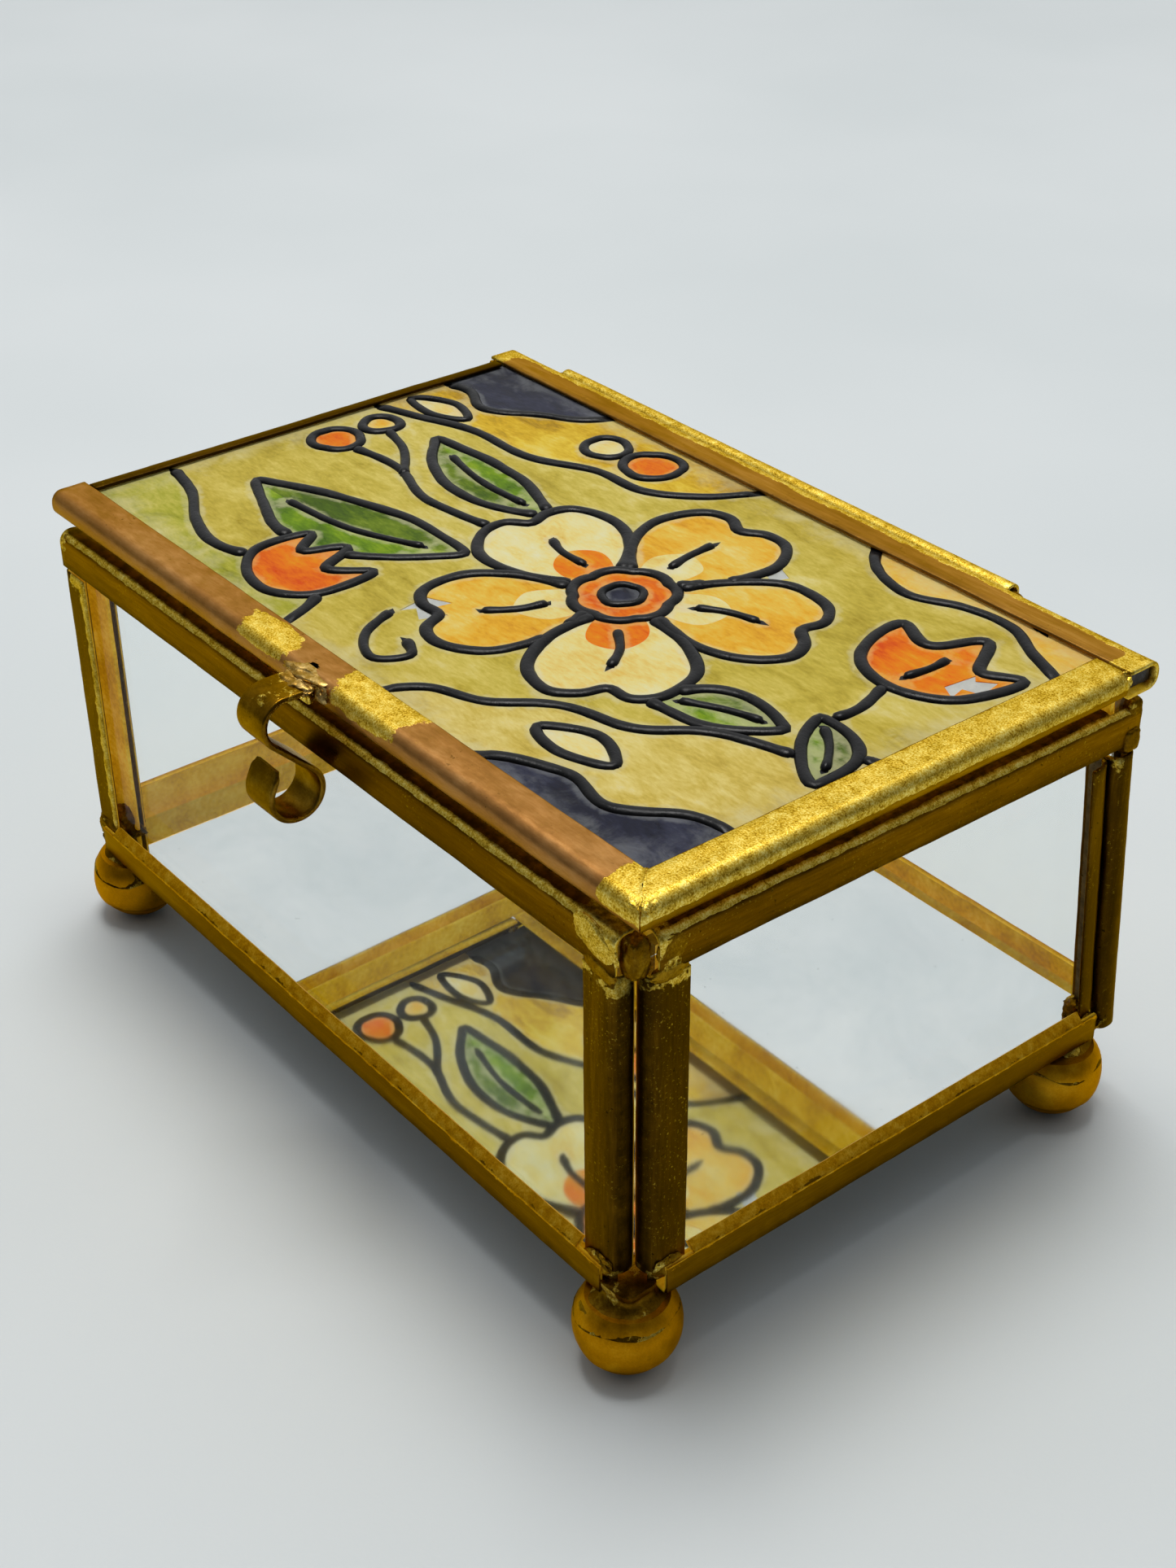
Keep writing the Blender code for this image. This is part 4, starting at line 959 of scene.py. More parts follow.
for sx, side, post_y, post_w, tall in ((1, "right", SIDE_POST_Y, CAME_W, BASE_T), (-1, "left", LEFT_POST_Y, LEFT_SIDE_W, LEFT_T)):
    cuts = []
    for y0, y1 in ((-BASE_END_FRONT - 1, -post_y + post_w + TRIM_GAP), (back_trim, BASE_END_BACK + 1)):
        cuts.append((BOX_AXES, np.array((sx * (BASE_X - SHEET), y0, TRIM_Z0)), np.array((sx * (BASE_X - 3), y1, TRIM_Z1))))
        cuts.append((BOX_AXES, np.array((sx * (BASE_X - SHEET - 0.1), y0, BASE_Z0 + BASE_T)),
                     np.array((sx * (BASE_X + 1), y1, TRIM_Z1))))
    rail(f"base_rail_{side}_brass", lie((sx * BASE_X, 0, BASE_Z0), Y, -sx * X, Z), tray_outline(tall), -BASE_END_FRONT,
         BASE_END_BACK, TRAY_Y, "box_body", tray_gold(-BASE_END_FRONT, BASE_END_BACK, tall), tray_grime, cuts, lined_glow=tray_glow_lining(tall))


def turned(profile, around=48):
    """Solid of revolution about Z: profile from the lower pole to the upper one."""
    verts, faces = [(0.0, 0.0, profile[0][1])], []
    for r, z in profile[1:-1]:
        verts += [(r * math.cos(2 * math.pi * k / around), r * math.sin(2 * math.pi * k / around), z) for k in range(around)]
    verts.append((0.0, 0.0, profile[-1][1]))
    last = len(verts) - 1
    rings = len(profile) - 2
    for k in range(around):
        m = (k + 1) % around
        faces.append((0, 1 + m, 1 + k))
        faces.append((last, 1 + (rings - 1) * around + k, 1 + (rings - 1) * around + m))
        for s in range(rings - 1):
            a, b = 1 + s * around, 1 + (s + 1) * around
            faces.append((a + k, a + m, b + m, b + k))
    return np.array(verts), faces


def build_foot(where, x, y, seed):
    """Pressed hollow ball: two cups with a rolled seam below the middle, worn flat underneath."""
    centre = math.sqrt(FOOT_R ** 2 - FOOT_FLAT_R ** 2)
    seam = -27.0
    low, high = math.degrees(math.asin(-centre / FOOT_R)), math.degrees(math.asin((FOOT_TOP - centre) / FOOT_R))
    profile = [(0.0, 0.0), (FOOT_FLAT_R * 0.6, 0.0)]
    n = 44
    for i in range(n + 1):
        a = low + (high - low) * i / n
        r = FOOT_R - 0.10 * (1 - step(seam - 4, seam + 1.0, a))
        r -= 0.10 * near(a, seam - 2.2, 2.6)
        profile.append((r * math.cos(math.radians(a)), max(0.0, centre + r * math.sin(math.radians(a)))))
    profile += [(1.0, FOOT_TOP), (0.0, FOOT_TOP)]
    verts, faces = turned(profile)
    height = verts[:, 2].copy()
    tilt = Matrix.Rotation(math.radians(5), 3, Vector((math.cos(seed), math.sin(seed), 0)))
    lift = step(0.3, 2.0, height) * (1 - step(6.0, 7.1, height))
    moved = wander(verts, 0.10, 3.2, seed + 200)
    verts = verts + (moved - verts) * lift[:, None]
    crack = fuzz(verts, 2.0, seed)
    gold = 0.10 + 0.28 * step(0.0, 0.5, fuzz(verts, 4.2, seed + 9)) + 0.30 * near(height, 2.25, 0.35)
    # darker at the bottom where the ball meets the floor: painted shade; a dark line along the seam, a little darker
    # near the top, and dark cracks
    grime_and_shade = 0.80 * (1 - step(0.2, 1.5, height)) + 0.70 * near(height, 1.95, 0.20) + 0.12 * step(5.2, 6.6, height)
    grime_and_shade = grime_and_shade + 0.15 * step(0.2, 0.5, crack)
    verts = verts + (x, y, 0)
    make(f"foot_{where}_ball", verts, faces, [FOOT], "box_body", (f"foot_{where}",),
         np.clip(gold, 0, 1), np.clip(grime_and_shade, 0, 1))


for k, (where, x, y) in enumerate(FEET):
    build_foot(where, x, y, k * 1.7 + 0.6)


# ======================================================================================
# Solder: necks over the feet and lumps at the joints
# ======================================================================================
def lump(name, centre, radii, body, mat=None, seed=1.0, rough=0.20, axes=None, gold=0.6, grime_and_shade=0.1,
         floor_z=None, top_z=None, power=2.0):
    """A blob of solder: an uneven ellipsoid, squarer as the power rises."""
    rows, cols = 26, 40
    pts = [(0.0, 0.0, -1.0)]
    for i in range(1, rows):
        a = -math.pi / 2 + math.pi * i / rows
        pts += [(math.cos(a) * math.cos(2 * math.pi * k / cols), math.cos(a) * math.sin(2 * math.pi * k / cols), math.sin(a))
                for k in range(cols)]
    pts.append((0.0, 0.0, 1.0))
    faces = []
    last = len(pts) - 1
    for k in range(cols):
        m = (k + 1) % cols
        faces.append((0, 1 + m, 1 + k))
        faces.append((last, 1 + (rows - 2) * cols + k, 1 + (rows - 2) * cols + m))
        for s in range(rows - 2):
            a, b = 1 + s * cols, 1 + (s + 1) * cols
            faces.append((a + k, a + m, b + m, b + k))
    u = np.array(pts)
    if power != 2.0:
        u = u / (np.sum(np.abs(u) ** power, 1) ** (1 / power))[:, None]
    f = 1 + rough * fuzz(u, 0.55, seed) * 1.6 + rough * 0.7 * fuzz(u, 0.24, seed + 3) + rough * 0.35 * fuzz(u, 0.11, seed + 6)
    local = u * f[:, None] * np.array(radii)
    axes = np.eye(3) if axes is None else np.stack([np.asarray(v, float) / np.linalg.norm(v) for v in axes])
    verts = np.array(centre) + local @ axes
    if floor_z is not None:
        verts[:, 2] = np.maximum(verts[:, 2], floor_z)
    if top_z is not None:
        verts[:, 2] = np.minimum(verts[:, 2], top_z)
    g = gold + 0.5 * fuzz(verts, 1.2, seed + 5)
    d = grime_and_shade + 0.35 * np.clip(fuzz(verts, 0.9, seed + 8), 0, 1)
    return make(name, verts, faces, [mat or SOLDER], body, (), np.clip(g, 0, 1), np.clip(d, 0, 1))


def neck(name, foot, top, seed, rows=22, cols=36):
    """Solder drawn from the corner of the tray down over the top of a ball."""
    (fx, fy), (tx, ty, rx, ry, tz) = foot, top
    centre = math.sqrt(FOOT_R ** 2 - FOOT_FLAT_R ** 2)
    z0 = centre + 2.35
    verts, faces = [], []
    for i in range(rows + 1):
        f = i / rows
        z = z0 + (tz - z0) * f
        for k in range(cols):
            a = 2 * math.pi * k / cols
            c, s = math.cos(a), math.sin(a)
            ball = math.sqrt(max(FOOT_R ** 2 - (z0 - centre) ** 2, 0.01)) - 0.05
            power = 2.0 + 2.2 * f
            square = (abs(c) ** power + abs(s) ** power) ** (-1 / power)
            waist = 1.0 - 0.20 * math.sin(math.pi * min(1.0, f * 1.25)) * (1 - 0.5 * f)
            px = (ball * (1 - step(0.0, 0.75, f)) + rx * step(0.0, 0.75, f) * square) * waist
            py = (ball * (1 - step(0.0, 0.75, f)) + ry * step(0.0, 0.75, f) * square) * waist
            w = 1 + 0.09 * noise.noise(Vector((c * 1.6, s * 1.6, z * 0.45 + seed * 3.1)))
            cx = fx + (tx - fx) * f
            cy = fy + (ty - fy) * f
            sag = 0.0
            if i == 0:
                sag = -0.9 - 0.8 * noise.noise(Vector((c * 1.3, s * 1.3, seed * 5.7)))
                r = math.sqrt(max(FOOT_R ** 2 - (z + sag - centre) ** 2, 0.01)) + 0.04
                px = py = r
                w = 1.0
            verts.append((cx + px * c * w, cy + py * s * w, z + sag))
    for i in range(rows):
        for k in range(cols):
            m = (k + 1) % cols
            faces.append((i * cols + k, i * cols + m, (i + 1) * cols + m, (i + 1) * cols + k))
    faces.append(tuple(range(cols))[::-1])
    faces.append(tuple(range(rows * cols, (rows + 1) * cols)))
    verts = np.array(verts)
    verts = wander(verts, 0.10, 1.5, seed + 300)
    gold = 0.35 + 0.6 * fuzz(verts, 1.8, seed)
    grime_and_shade = 0.40 + 0.35 * fuzz(verts, 1.3, seed + 4)
    make(name, verts, faces, [SOLDER], "box_body", (), np.clip(gold, 0, 1), np.clip(grime_and_shade, 0, 1))


neck("neck_front_right", (40.1, -25.9), (40.3, -26.1, 2.0, 1.9, 9.0), 1.0)
neck("neck_front_left", (-39.9, -25.4), (-40.6, -26.0, 2.0, 1.9, 8.8), 2.0)
neck("neck_back_right", (40.3, 24.2), (40.5, 26.6, 1.9, 2.0, 8.6), 3.0)
neck("neck_back_left", (-40.3, 24.2), (-40.5, 26.6, 1.9, 2.0, 8.6), 4.0)

# near top corner: paint-covered solder over the ends of the rails and the tops of the posts
lump("solder_front_rail_end", (37.9, -27.16, 41.2), (2.6, 0.36, 1.30), "box_body", seed=1.3, gold=1.0, grime_and_shade=0.0, rough=0.07,
     axes=((1, 0, -0.34), (0, 1, 0), (0.34, 0, 1)), power=2.6)
lump("solder_front_post_top", (38.30, -27.12, 38.95), (1.75, 0.36, 0.70), "box_body", seed=2.1, gold=0.26, grime_and_shade=0.15, rough=0.08, power=3.0,
     axes=((1, 0, -0.16), (0, 1, 0), (0.16, 0, 1)))
lump("solder_right_post_top", (41.72, -23.40, 38.85), (0.36, 1.75, 0.70), "box_body", seed=3.4, gold=0.18, grime_and_shade=0.20, rough=0.08, power=3.0)
lump("solder_right_rail_end", (41.74, -23.10, 40.9), (0.32, 1.5, 1.2), "box_body", seed=3.9, gold=0.24, grime_and_shade=0.20, rough=0.07, power=2.6)
lump("solder_corner_top", (40.55, -25.70, 40.6), (0.95, 0.95, 1.85), "box_body", seed=4.2, gold=0.22, grime_and_shade=0.40, rough=0.10, power=4.0)
lump("solder_lid_corner", (41.95, -26.25, 45.75), (1.15, 1.15, 0.95), "lid", seed=5.5, gold=0.9, grime_and_shade=0.0, rough=0.08, power=3.5)
lump("solder_lid_seam", (41.15, -25.45, 46.60), (2.3, 0.42, 0.20), "lid", seed=6.5, gold=0.98, grime_and_shade=0.0, rough=0.20,
     axes=((1, -1, 0), (1, 1, 0), (0, 0, 1)))
lump("solder_lid_left_corner", (-42.2, -24.2, 46.05), (0.75, 0.6, 0.6), "lid", seed=7.5, gold=0.2, grime_and_shade=0.3, rough=0.2)
lump("solder_lid_back_right", (42.4, 24.1, 45.8), (0.6, 0.7, 0.75), "lid", seed=8.5, gold=0.7, rough=0.3)
lump("solder_lid_back_left", (-42.6, 24.1, 45.8), (0.6, 0.7, 0.75), "lid", seed=9.5, gold=0.4, rough=0.3)
# feet of the posts
lump("solder_front_post_foot", (38.4, -27.45, 10.1), (1.6, 0.42, 1.0), "box_body", seed=11.5, gold=0.40, grime_and_shade=0.30, rough=0.16)
lump("solder_right_post_foot", (42.05, -23.4, 10.0), (0.42, 1.5, 1.0), "box_body", seed=12.5, gold=0.40, grime_and_shade=0.30, rough=0.16)
lump("solder_left_post_foot", (-40.9, -27.0, 9.9), (2.0, 0.75, 1.3), "box_body", seed=13.5, gold=0.25, grime_and_shade=0.25, rough=0.12, power=3.0)
lump("solder_left_corner_fill", (-40.9, -25.6, 10.3), (1.3, 1.3, 1.5), "box_body", seed=19.5, gold=0.25, grime_and_shade=0.3, rough=0.12, power=3.0)
lump("solder_back_right_foot", (42.1, 25.9, 9.5), (0.42, 1.3, 0.9), "box_body", seed=14.5, gold=0.25, grime_and_shade=0.3, rough=0.12)
lump("solder_back_left_foot", (-42.1, 25.9, 9.5), (0.42, 1.3, 0.9), "box_body", seed=15.5, gold=0.25, grime_and_shade=0.3, rough=0.12)
lump("solder_back_right_top", (41.55, 26.85, 38.9), (0.72, 0.95, 1.15), "box_body", seed=16.5, gold=0.05, grime_and_shade=0.25, rough=0.06, power=4.5)
lump("solder_back_left_top", (-41.55, 26.85, 38.9), (0.72, 0.95, 1.15), "box_body", seed=17.5, gold=0.05, grime_and_shade=0.25, rough=0.06, power=4.5)
lump("solder_back_right_end", (41.2, 27.2, 40.2), (0.78, 0.85, 2.5), "box_body", seed=20.1, gold=0.10, grime_and_shade=0.25, rough=0.05, power=4.5)
lump("solder_back_left_end", (-41.2, 27.2, 40.2), (0.78, 0.85, 2.5), "box_body", seed=20.9, gold=0.10, grime_and_shade=0.25, rough=0.05, power=4.5)
lump("solder_back_right_inner", (40.3, 26.6, 9.9), (1.0, 1.1, 0.9), "box_body", seed=18.1, gold=0.3, grime_and_shade=0.2, rough=0.10, power=3.0)
lump("solder_back_left_inner", (-40.3, 26.6, 9.9), (1.0, 1.1, 0.9), "box_body", seed=18.9, gold=0.3, grime_and_shade=0.2, rough=0.10, power=3.0)
lump("solder_left_rail_end", (-42.2, -26.9, 41.6), (0.8, 0.55, 0.9), "box_body", seed=18.5, gold=0.5, rough=0.3)
# catch root: cracked tin solder run over the strip and the shoulder of the rail
lump("solder_catch_root", (CATCH_X + 0.2, -26.55, 46.22), (3.1, 1.25, 0.58), "lid", mat=TIN, seed=21.5, gold=0.22, grime_and_shade=0.10,
     rough=0.24, axes=((1, 0.12, 0), (-0.12, 1, 0), (0, 0, 1)), power=2.6)
lump("solder_catch_bridge", (CATCH_X + 0.2, -28.15, 45.95), (2.05, 1.05, 0.50), "lid", mat=TIN, seed=22.5, gold=0.30, grime_and_shade=0.10,
     rough=0.22, axes=((1, 0.05, 0), (-0.05, 1, 0.18), (0, -0.18, 1)), power=2.6)
lump("solder_catch_side", (CATCH_X + 2.5, -27.45, 45.75), (1.1, 0.45, 0.75), "lid", mat=TIN, seed=23.5, gold=0.5, grime_and_shade=0.3, rough=0.3)




def bead(name, where, x0, x1, half, body, seed):
    """A long uneven run of solder between two pieces that lie side by side."""
    outline = np.array([(half[0] * math.cos(2 * math.pi * k / 14), half[1] * math.sin(2 * math.pi * k / 14)) for k in range(14)])
    local, faces = sweep(outline, x0, x1, pitch=0.5)
    swell = 1 + 0.35 * fuzz(local * (1, 0, 0), 2.6, seed)
    local[:, 1:] *= swell[:, None]
    verts = wander(to_box(where, local), 0.05, 1.4, seed)
    make(name, verts, faces, [SOLDER], body, (), np.clip(0.55 + 0.6 * fuzz(verts, 3.0, seed), 0, 1), np.clip(0.25 + 0.4 * fuzz(verts, 2.0, seed + 1), 0, 1))


bead("solder_hinge_run", lie((0, (LID_BACK + HINGE_Y - HINGE_R) / 2, HINGE_Z + 0.15), X, Y, Z), TUBE_X0 + 0.9, TUBE_X1 - 0.9, (0.26, 0.52), "lid", 31.0)

# ======================================================================================
# Panes
# ======================================================================================
def pane(node, face_mat, thin_axis, edge=EDGE):
    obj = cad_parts[node]
    obj.data.materials.clear()
    obj.data.materials.append(face_mat)
    obj.data.materials.append(edge)
    for poly in obj.data.polygons:
        clear = abs(poly.normal.dot(Vector(thin_axis))) > 0.9 or poly.normal.z < -0.7
        poly.material_index = 0 if clear else 1
    obj.data.update()
    mod = obj.modifiers.new("arris", "BEVEL")
    mod.width, mod.segments, mod.limit_method = 0.00008, 2, "ANGLE"


pane("front_glass", GLASS, (0, 1, 0))
pane("back_glass", GLASS, tuple(OUT_BACK))
pane("left_glass", GLASS, (1, 0, 0))
pane("right_glass", GLASS, (1, 0, 0))
pane("lid_glass", LID_PANE, (0, 0, 1), LID_EDGE)
floor_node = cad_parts["base_mirror"]
floor_node.data.materials.clear()
floor_node.data.materials.append(MIRROR)
mod = floor_node.modifiers.new("arris", "BEVEL")
mod.width, mod.segments, mod.limit_method = 0.00010, 2, "ANGLE"
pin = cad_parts["hinge_pin"]
pin.data.materials.clear()
pin.data.materials.append(POST)


# ======================================================================================
# Painted lid: fields of glass paint inside raised black contours
# ======================================================================================
def spline(points, closed=False, pitch=0.35):
    """Smooth curve through points (centripetal Catmull-Rom), evenly spaced."""
    p = [np.array(q, float) for q in points]
    if closed:
        p = [p[-1]] + p + [p[0], p[1]]
    else:
        p = [2 * p[0] - p[1]] + p + [2 * p[-1] - p[-2]]
    out = []
    for i in range(1, len(p) - 2):
        p0, p1, p2, p3 = p[i - 1:i + 3]
        t0 = 0.0
        t1 = t0 + max(np.linalg.norm(p1 - p0), 1e-6) ** 0.5
        t2 = t1 + max(np.linalg.norm(p2 - p1), 1e-6) ** 0.5
        t3 = t2 + max(np.linalg.norm(p3 - p2), 1e-6) ** 0.5
        n = max(2, int(np.linalg.norm(p2 - p1) / pitch))
        for k in range(n):
            t = t1 + (t2 - t1) * k / n
            a1 = (t1 - t) / (t1 - t0) * p0 + (t - t0) / (t1 - t0) * p1
            a2 = (t2 - t) / (t2 - t1) * p1 + (t - t1) / (t2 - t1) * p2
            a3 = (t3 - t) / (t3 - t2) * p2 + (t - t2) / (t3 - t2) * p3
            b1 = (t2 - t) / (t2 - t0) * a1 + (t - t0) / (t2 - t0) * a2
            b2 = (t3 - t) / (t3 - t1) * a2 + (t - t1) / (t3 - t1) * a3
            out.append((t2 - t) / (t2 - t1) * b1 + (t - t1) / (t2 - t1) * b2)
    if not closed:
        out.append(p[-2])
    return np.array(out)


def even(curve, closed, pitch=0.38):
    """Curve resampled at an even pitch."""
    pts = np.vstack([curve, curve[:1]]) if closed else curve
    d = np.r_[0, np.cumsum(np.linalg.norm(np.diff(pts, axis=0), axis=1))]
    n = max(8, int(d[-1] / pitch))
    s = np.linspace(0, d[-1], n + 1)
    if closed:
        s = s[:-1]
    return np.stack([np.interp(s, d, pts[:, 0]), np.interp(s, d, pts[:, 1])], 1)


def hand(curve, amount, size, seed):
    """A drawn line is never quite true."""
    return np.array([p + amount * np.array(noise.noise_vector(Vector((p[0] / size, p[1] / size, seed))))[:2] for p in curve])


def blossom(cx, cy, radius, petals, turn, depth=0.34, squash=1.0):
    pts = []
    for i in range(petals * 18):
        a = 2 * math.pi * i / (petals * 18)
        lobe = abs(math.cos(petals * a / 2)) ** 0.75
        r = radius * (1 - depth + depth * lobe)
        b = a + math.radians(turn)
        pts.append((cx + r * math.cos(b), cy + r * math.sin(b) * squash))
    return np.array(pts)


def leaf(x0, y0, x1, y1, wide, bend):
    a, b = np.array((x0, y0), float), np.array((x1, y1), float)
    t = (b - a) / np.linalg.norm(b - a)
    n = np.array((-t[1], t[0]))
    mid = [a + (b - a) * f + n * bend * math.sin(math.pi * f) for f in np.linspace(0, 1, 15)]
    rise = [wide * math.sin(math.pi * f) ** 0.8 * (1 - 0.25 * f) for f in np.linspace(0, 1, 15)]
    upper = [m + n * r for m, r in zip(mid, rise)]
    lower = [m - n * r for m, r in zip(mid, rise)]
    return np.array(upper + lower[-2:0:-1]), np.array(mid)


PAINT_X0, PAINT_X1, PAINT_Y0, PAINT_Y1 = -42.3, 42.3, -26.6, 27.0
WINDOW = (-LID_X + LID_LEFT_W, LID_X - CAME_W, -LID_Y + CAME_W, LID_BACK - CAME_W)
fields, lines = [], []


def field(colour, outline, contour=1.12, seed=0.0, covers=True):
    outline = even(hand(outline, 0.28, 5.0, seed), True)
    fields.append((colour, outline, covers))
    if contour:
        lines.append((outline, True, contour, len(fields)))


def line(points, width=1.05, seed=0.0):
    lines.append((even(hand(spline(points), 0.25, 5.0, seed), False), False, width, len(fields)))


def ground(colour, points, rest, width=1.15, seed=0.0):
    """A field that runs off the pane: one drawn edge, closed through the points outside."""
    edge = spline(points)
    field(colour, np.vstack([edge, rest]), 0, seed)
    lines.append((even(hand(edge, 0.25, 5.0, seed), False), False, width, len(fields)))


def set_at(points, x, y, turn):
    """Points (along, across) laid out from a place on the pane at an angle."""
    c, k = math.cos(math.radians(turn)), math.sin(math.radians(turn))
    return [(x + c * u - k * w, y + k * u + c * w) for u, w in points]


# rolling ground behind the flowers
ground("mustard", [(-43, 7.5), (-37, 9.5), (-30, 12.0), (-22, 12.4), (-15, 15.5), (-9, 16.0), (-4, 20.0), (0, 28)],
       [(-20, 29), (-43, 29)], 1.15, 1.0)
ground("slate", [(-43, 16.5), (-38, 17.5), (-34, 16.0), (-29, 19.5), (-25, 22.5), (-22, 28)], [(-30, 29), (-43, 29)], 1.15, 2.0)
ground("amber", [(11, 29), (15.5, 22.6), (21.5, 20.4), (26.0, 22.6), (31.5, 23.0), (36, 20.6), (44, 18.0)], [(44, 29)], 1.15, 3.0)
ground("ochre", [(44, 1.4), (39, -0.8), (34.5, -4.8), (28, -7.4), (24, -11.6), (17.5, -14.0), (12.5, -18.6), (8, -20.8), (4, -28)],
       [(44, -28)], 1.15, 4.0)
ground("slate", [(16, -28), (20, -22.6), (25.5, -20.0), (31, -20.4), (36.0, -16.4), (44, -15.2)], [(44, -28)], 1.15, 5.0)
ground("sage", [(-43, -15.2), (-36, -16.6), (-30, -19.6), (-24, -20.5), (-17, -17.4), (-11, -18.6), (-7.0, -28)], [(-43, -28)], 1.15, 6.0)

# stems, berries and two-tone leaves
line([(-12, 0.6), (-20, -0.6), (-28, 1.4), (-34.6, 0.6)], 1.05, 7.0)
line([(-26, 0.8), (-31, 4.2), (-35.4, 5.6)], 0.95, 7.5)
line([(31.2, 8.6), (32.6, 3.6), (31.6, -1.6)], 1.05, 7.8)
for k, (spec, upper, lower) in enumerate((((-9.0, -4.5, -34.0, -10.5, 5.4, 2.4), "green", "fern"), ((-10.5, 6.0, -31.0, 8.0, 3.7, 1.2), "fern", "green"),
                                          ((31.2, -3.0, 20.6, -8.2, 3.2, -1.0), "green", "fern"), ((31.6, 0.4, 38.6, -6.6, 2.5, 1.0), "fern", "green"))):
    outline, rib = leaf(*spec)
    field(lower, spline(outline, True), 1.15, 8.0 + k)
    field(upper, np.vstack([outline[:15], rib[::-1]]), 0, 8.0 + k, False)
    lines.append((even(hand(rib[2:12], 0.2, 4.0, 14.0 + k), False), False, 0.80, len(fields)))
for k, (x, y, r, tone) in enumerate(((-37.0, 0.4, 2.6, "orange"), (-37.2, 5.8, 2.0, "amber"), (-12.4, 20.4, 3.0, "orange"), (-18.6, 19.6, 2.3, "cream"))):
    field(tone, blossom(x, y, r, 3, 40 * k, 0.10, 0.94), 1.05, 37.0 + k)

# large open flower: five notched petals round an orange eye
PETAL = ((1.5, 0.0), (4.0, 2.6), (8.5, 6.0), (13.2, 7.0), (17.0, 4.6), (17.6, 2.0), (16.2, 0.0), (17.2, -2.2), (16.8, -4.8), (13.0, -6.8), (8.5, -5.8), (4.0, -2.5))
VEINS = (((6.4, 0.0), (9.6, 0.4), (12.6, 0.0)), ((6.8, 2.0), (9.4, 3.2), (11.6, 3.8)), ((6.8, -2.0), (9.4, -3.0), (11.2, -3.6)))
for k in range(5):
    turn = 100 + 72 * k
    field("cream" if k % 2 else "amber", spline(set_at(PETAL, 6.0, 1.6, turn), True), 1.2, 20.0 + k)
    field("orange" if k % 2 else "cream", spline(set_at(((2.0, 0.0), (5.0, 2.4), (7.6, 2.6), (9.6, 0.6), (8.2, -2.4), (5.0, -2.2)), 6.0, 1.6, turn), True),
          0, 25.0 + k, False)
    line(set_at(VEINS[0], 6.0, 1.6, turn), 0.85, 50.0 + k)
field("orange", blossom(6.0, 1.6, 4.7, 7, 0, 0.08, 1.0), 1.15, 30.0)
field("slate", blossom(6.0, 1.6, 1.9, 5, 0, 0.10, 1.0), 0.8, 31.0)

# orange cups and buds
cup = spline([(26.2, 10.4), (31.2, 8.0), (36.6, 10.8), (38.0, 17.0), (34.6, 15.4), (31.8, 19.6), (28.8, 15.4), (24.8, 16.6)], True)
field("orange", cup, 1.2, 32.0)
line([(31.3, 10.0), (31.8, 12.6), (31.6, 15.0)], 0.85, 33.0)
cup = spline([(-18.0, -21.4), (-14.0, -21.8), (-11.0, -18.8), (-11.4, -12.6), (-14.2, -15.6), (-16.6, -11.8), (-18.6, -15.4), (-21.2, -12.8), (-21.6, -18.4)], True)
field("orange", cup, 1.15, 35.0)
bud = spline([(-40.6, 12.0), (-36.2, 11.2), (-32.6, 13.2), (-36.6, 14.6)], True)
field("cream", bud, 1.0, 42.0)
bud = spline([(18.6, -17.6), (22.8, -18.6), (27.0, -16.4), (22.8, -14.6)], True)
field("cream", bud, 1.05, 43.0)
line([(24, 25.4), (28.5, 26.0), (33.5, 24.6)], 1.0, 44.0)
line([(-4.2, -15.6), (-2.4, -19.6), (1.6, -21.4), (3.2, -18.6), (0.6, -17.4)], 1.0, 45.0)

# bare spots where paint has flaked off
CHIPS = (((-4.6, -11.8), (-2.2, -10.6), (-2.6, -12.6), (-0.6, -12.2), (-1.6, -14.6), (-3.4, -13.6), (-4.0, -15.0)),
         ((34.4, 11.6), (36.0, 10.8), (35.6, 12.4), (37.3, 13.0), (36.8, 15.4), (35.4, 14.2), (34.8, 14.8)),
         ((9.8, 14.0), (12.2, 13.2), (12.8, 14.8), (11.2, 15.4), (10.6, 16.4)))
for c in CHIPS:
    fields.append(("chip", np.array(c, float), False))


def ribbon(curve, closed, width):
    """The two edges of a drawn line."""
    t = np.roll(curve, -1, 0) - np.roll(curve, 1, 0) if closed else np.gradient(curve, axis=0)
    t /= np.maximum(np.linalg.norm(t, axis=1, keepdims=True), 1e-9)
    nrm = np.stack([-t[:, 1], t[:, 0]], 1)
    return curve - nrm * width, curve + nrm * width


def inside(points, poly):
    """Which points lie inside a closed outline."""
    hit = np.zeros(len(points), bool)
    px, py = points[:, 0], points[:, 1]
    for (xa, ya), (xb, yb) in zip(poly, np.roll(poly, -1, 0)):
        if ya != yb:
            cross = (ya > py) != (yb > py)
            hit ^= cross & (px < (xb - xa) * (py - ya) / (yb - ya) + xa)
    return hit


def nearest(points, curve, closed):
    """Distance from points to a drawn line."""
    best = np.full(len(points), 1e9)
    ends = np.roll(curve, -1, 0) if closed else curve[1:]
    for a, b in zip(curve, ends):
        d = b - a
        f = np.clip(((points - a) @ d) / max(d @ d, 1e-9), 0, 1)
        best = np.minimum(best, np.sum((points - a - f[:, None] * d) ** 2, 1))
    return np.sqrt(best)


BLACK_SHARE = 0.40


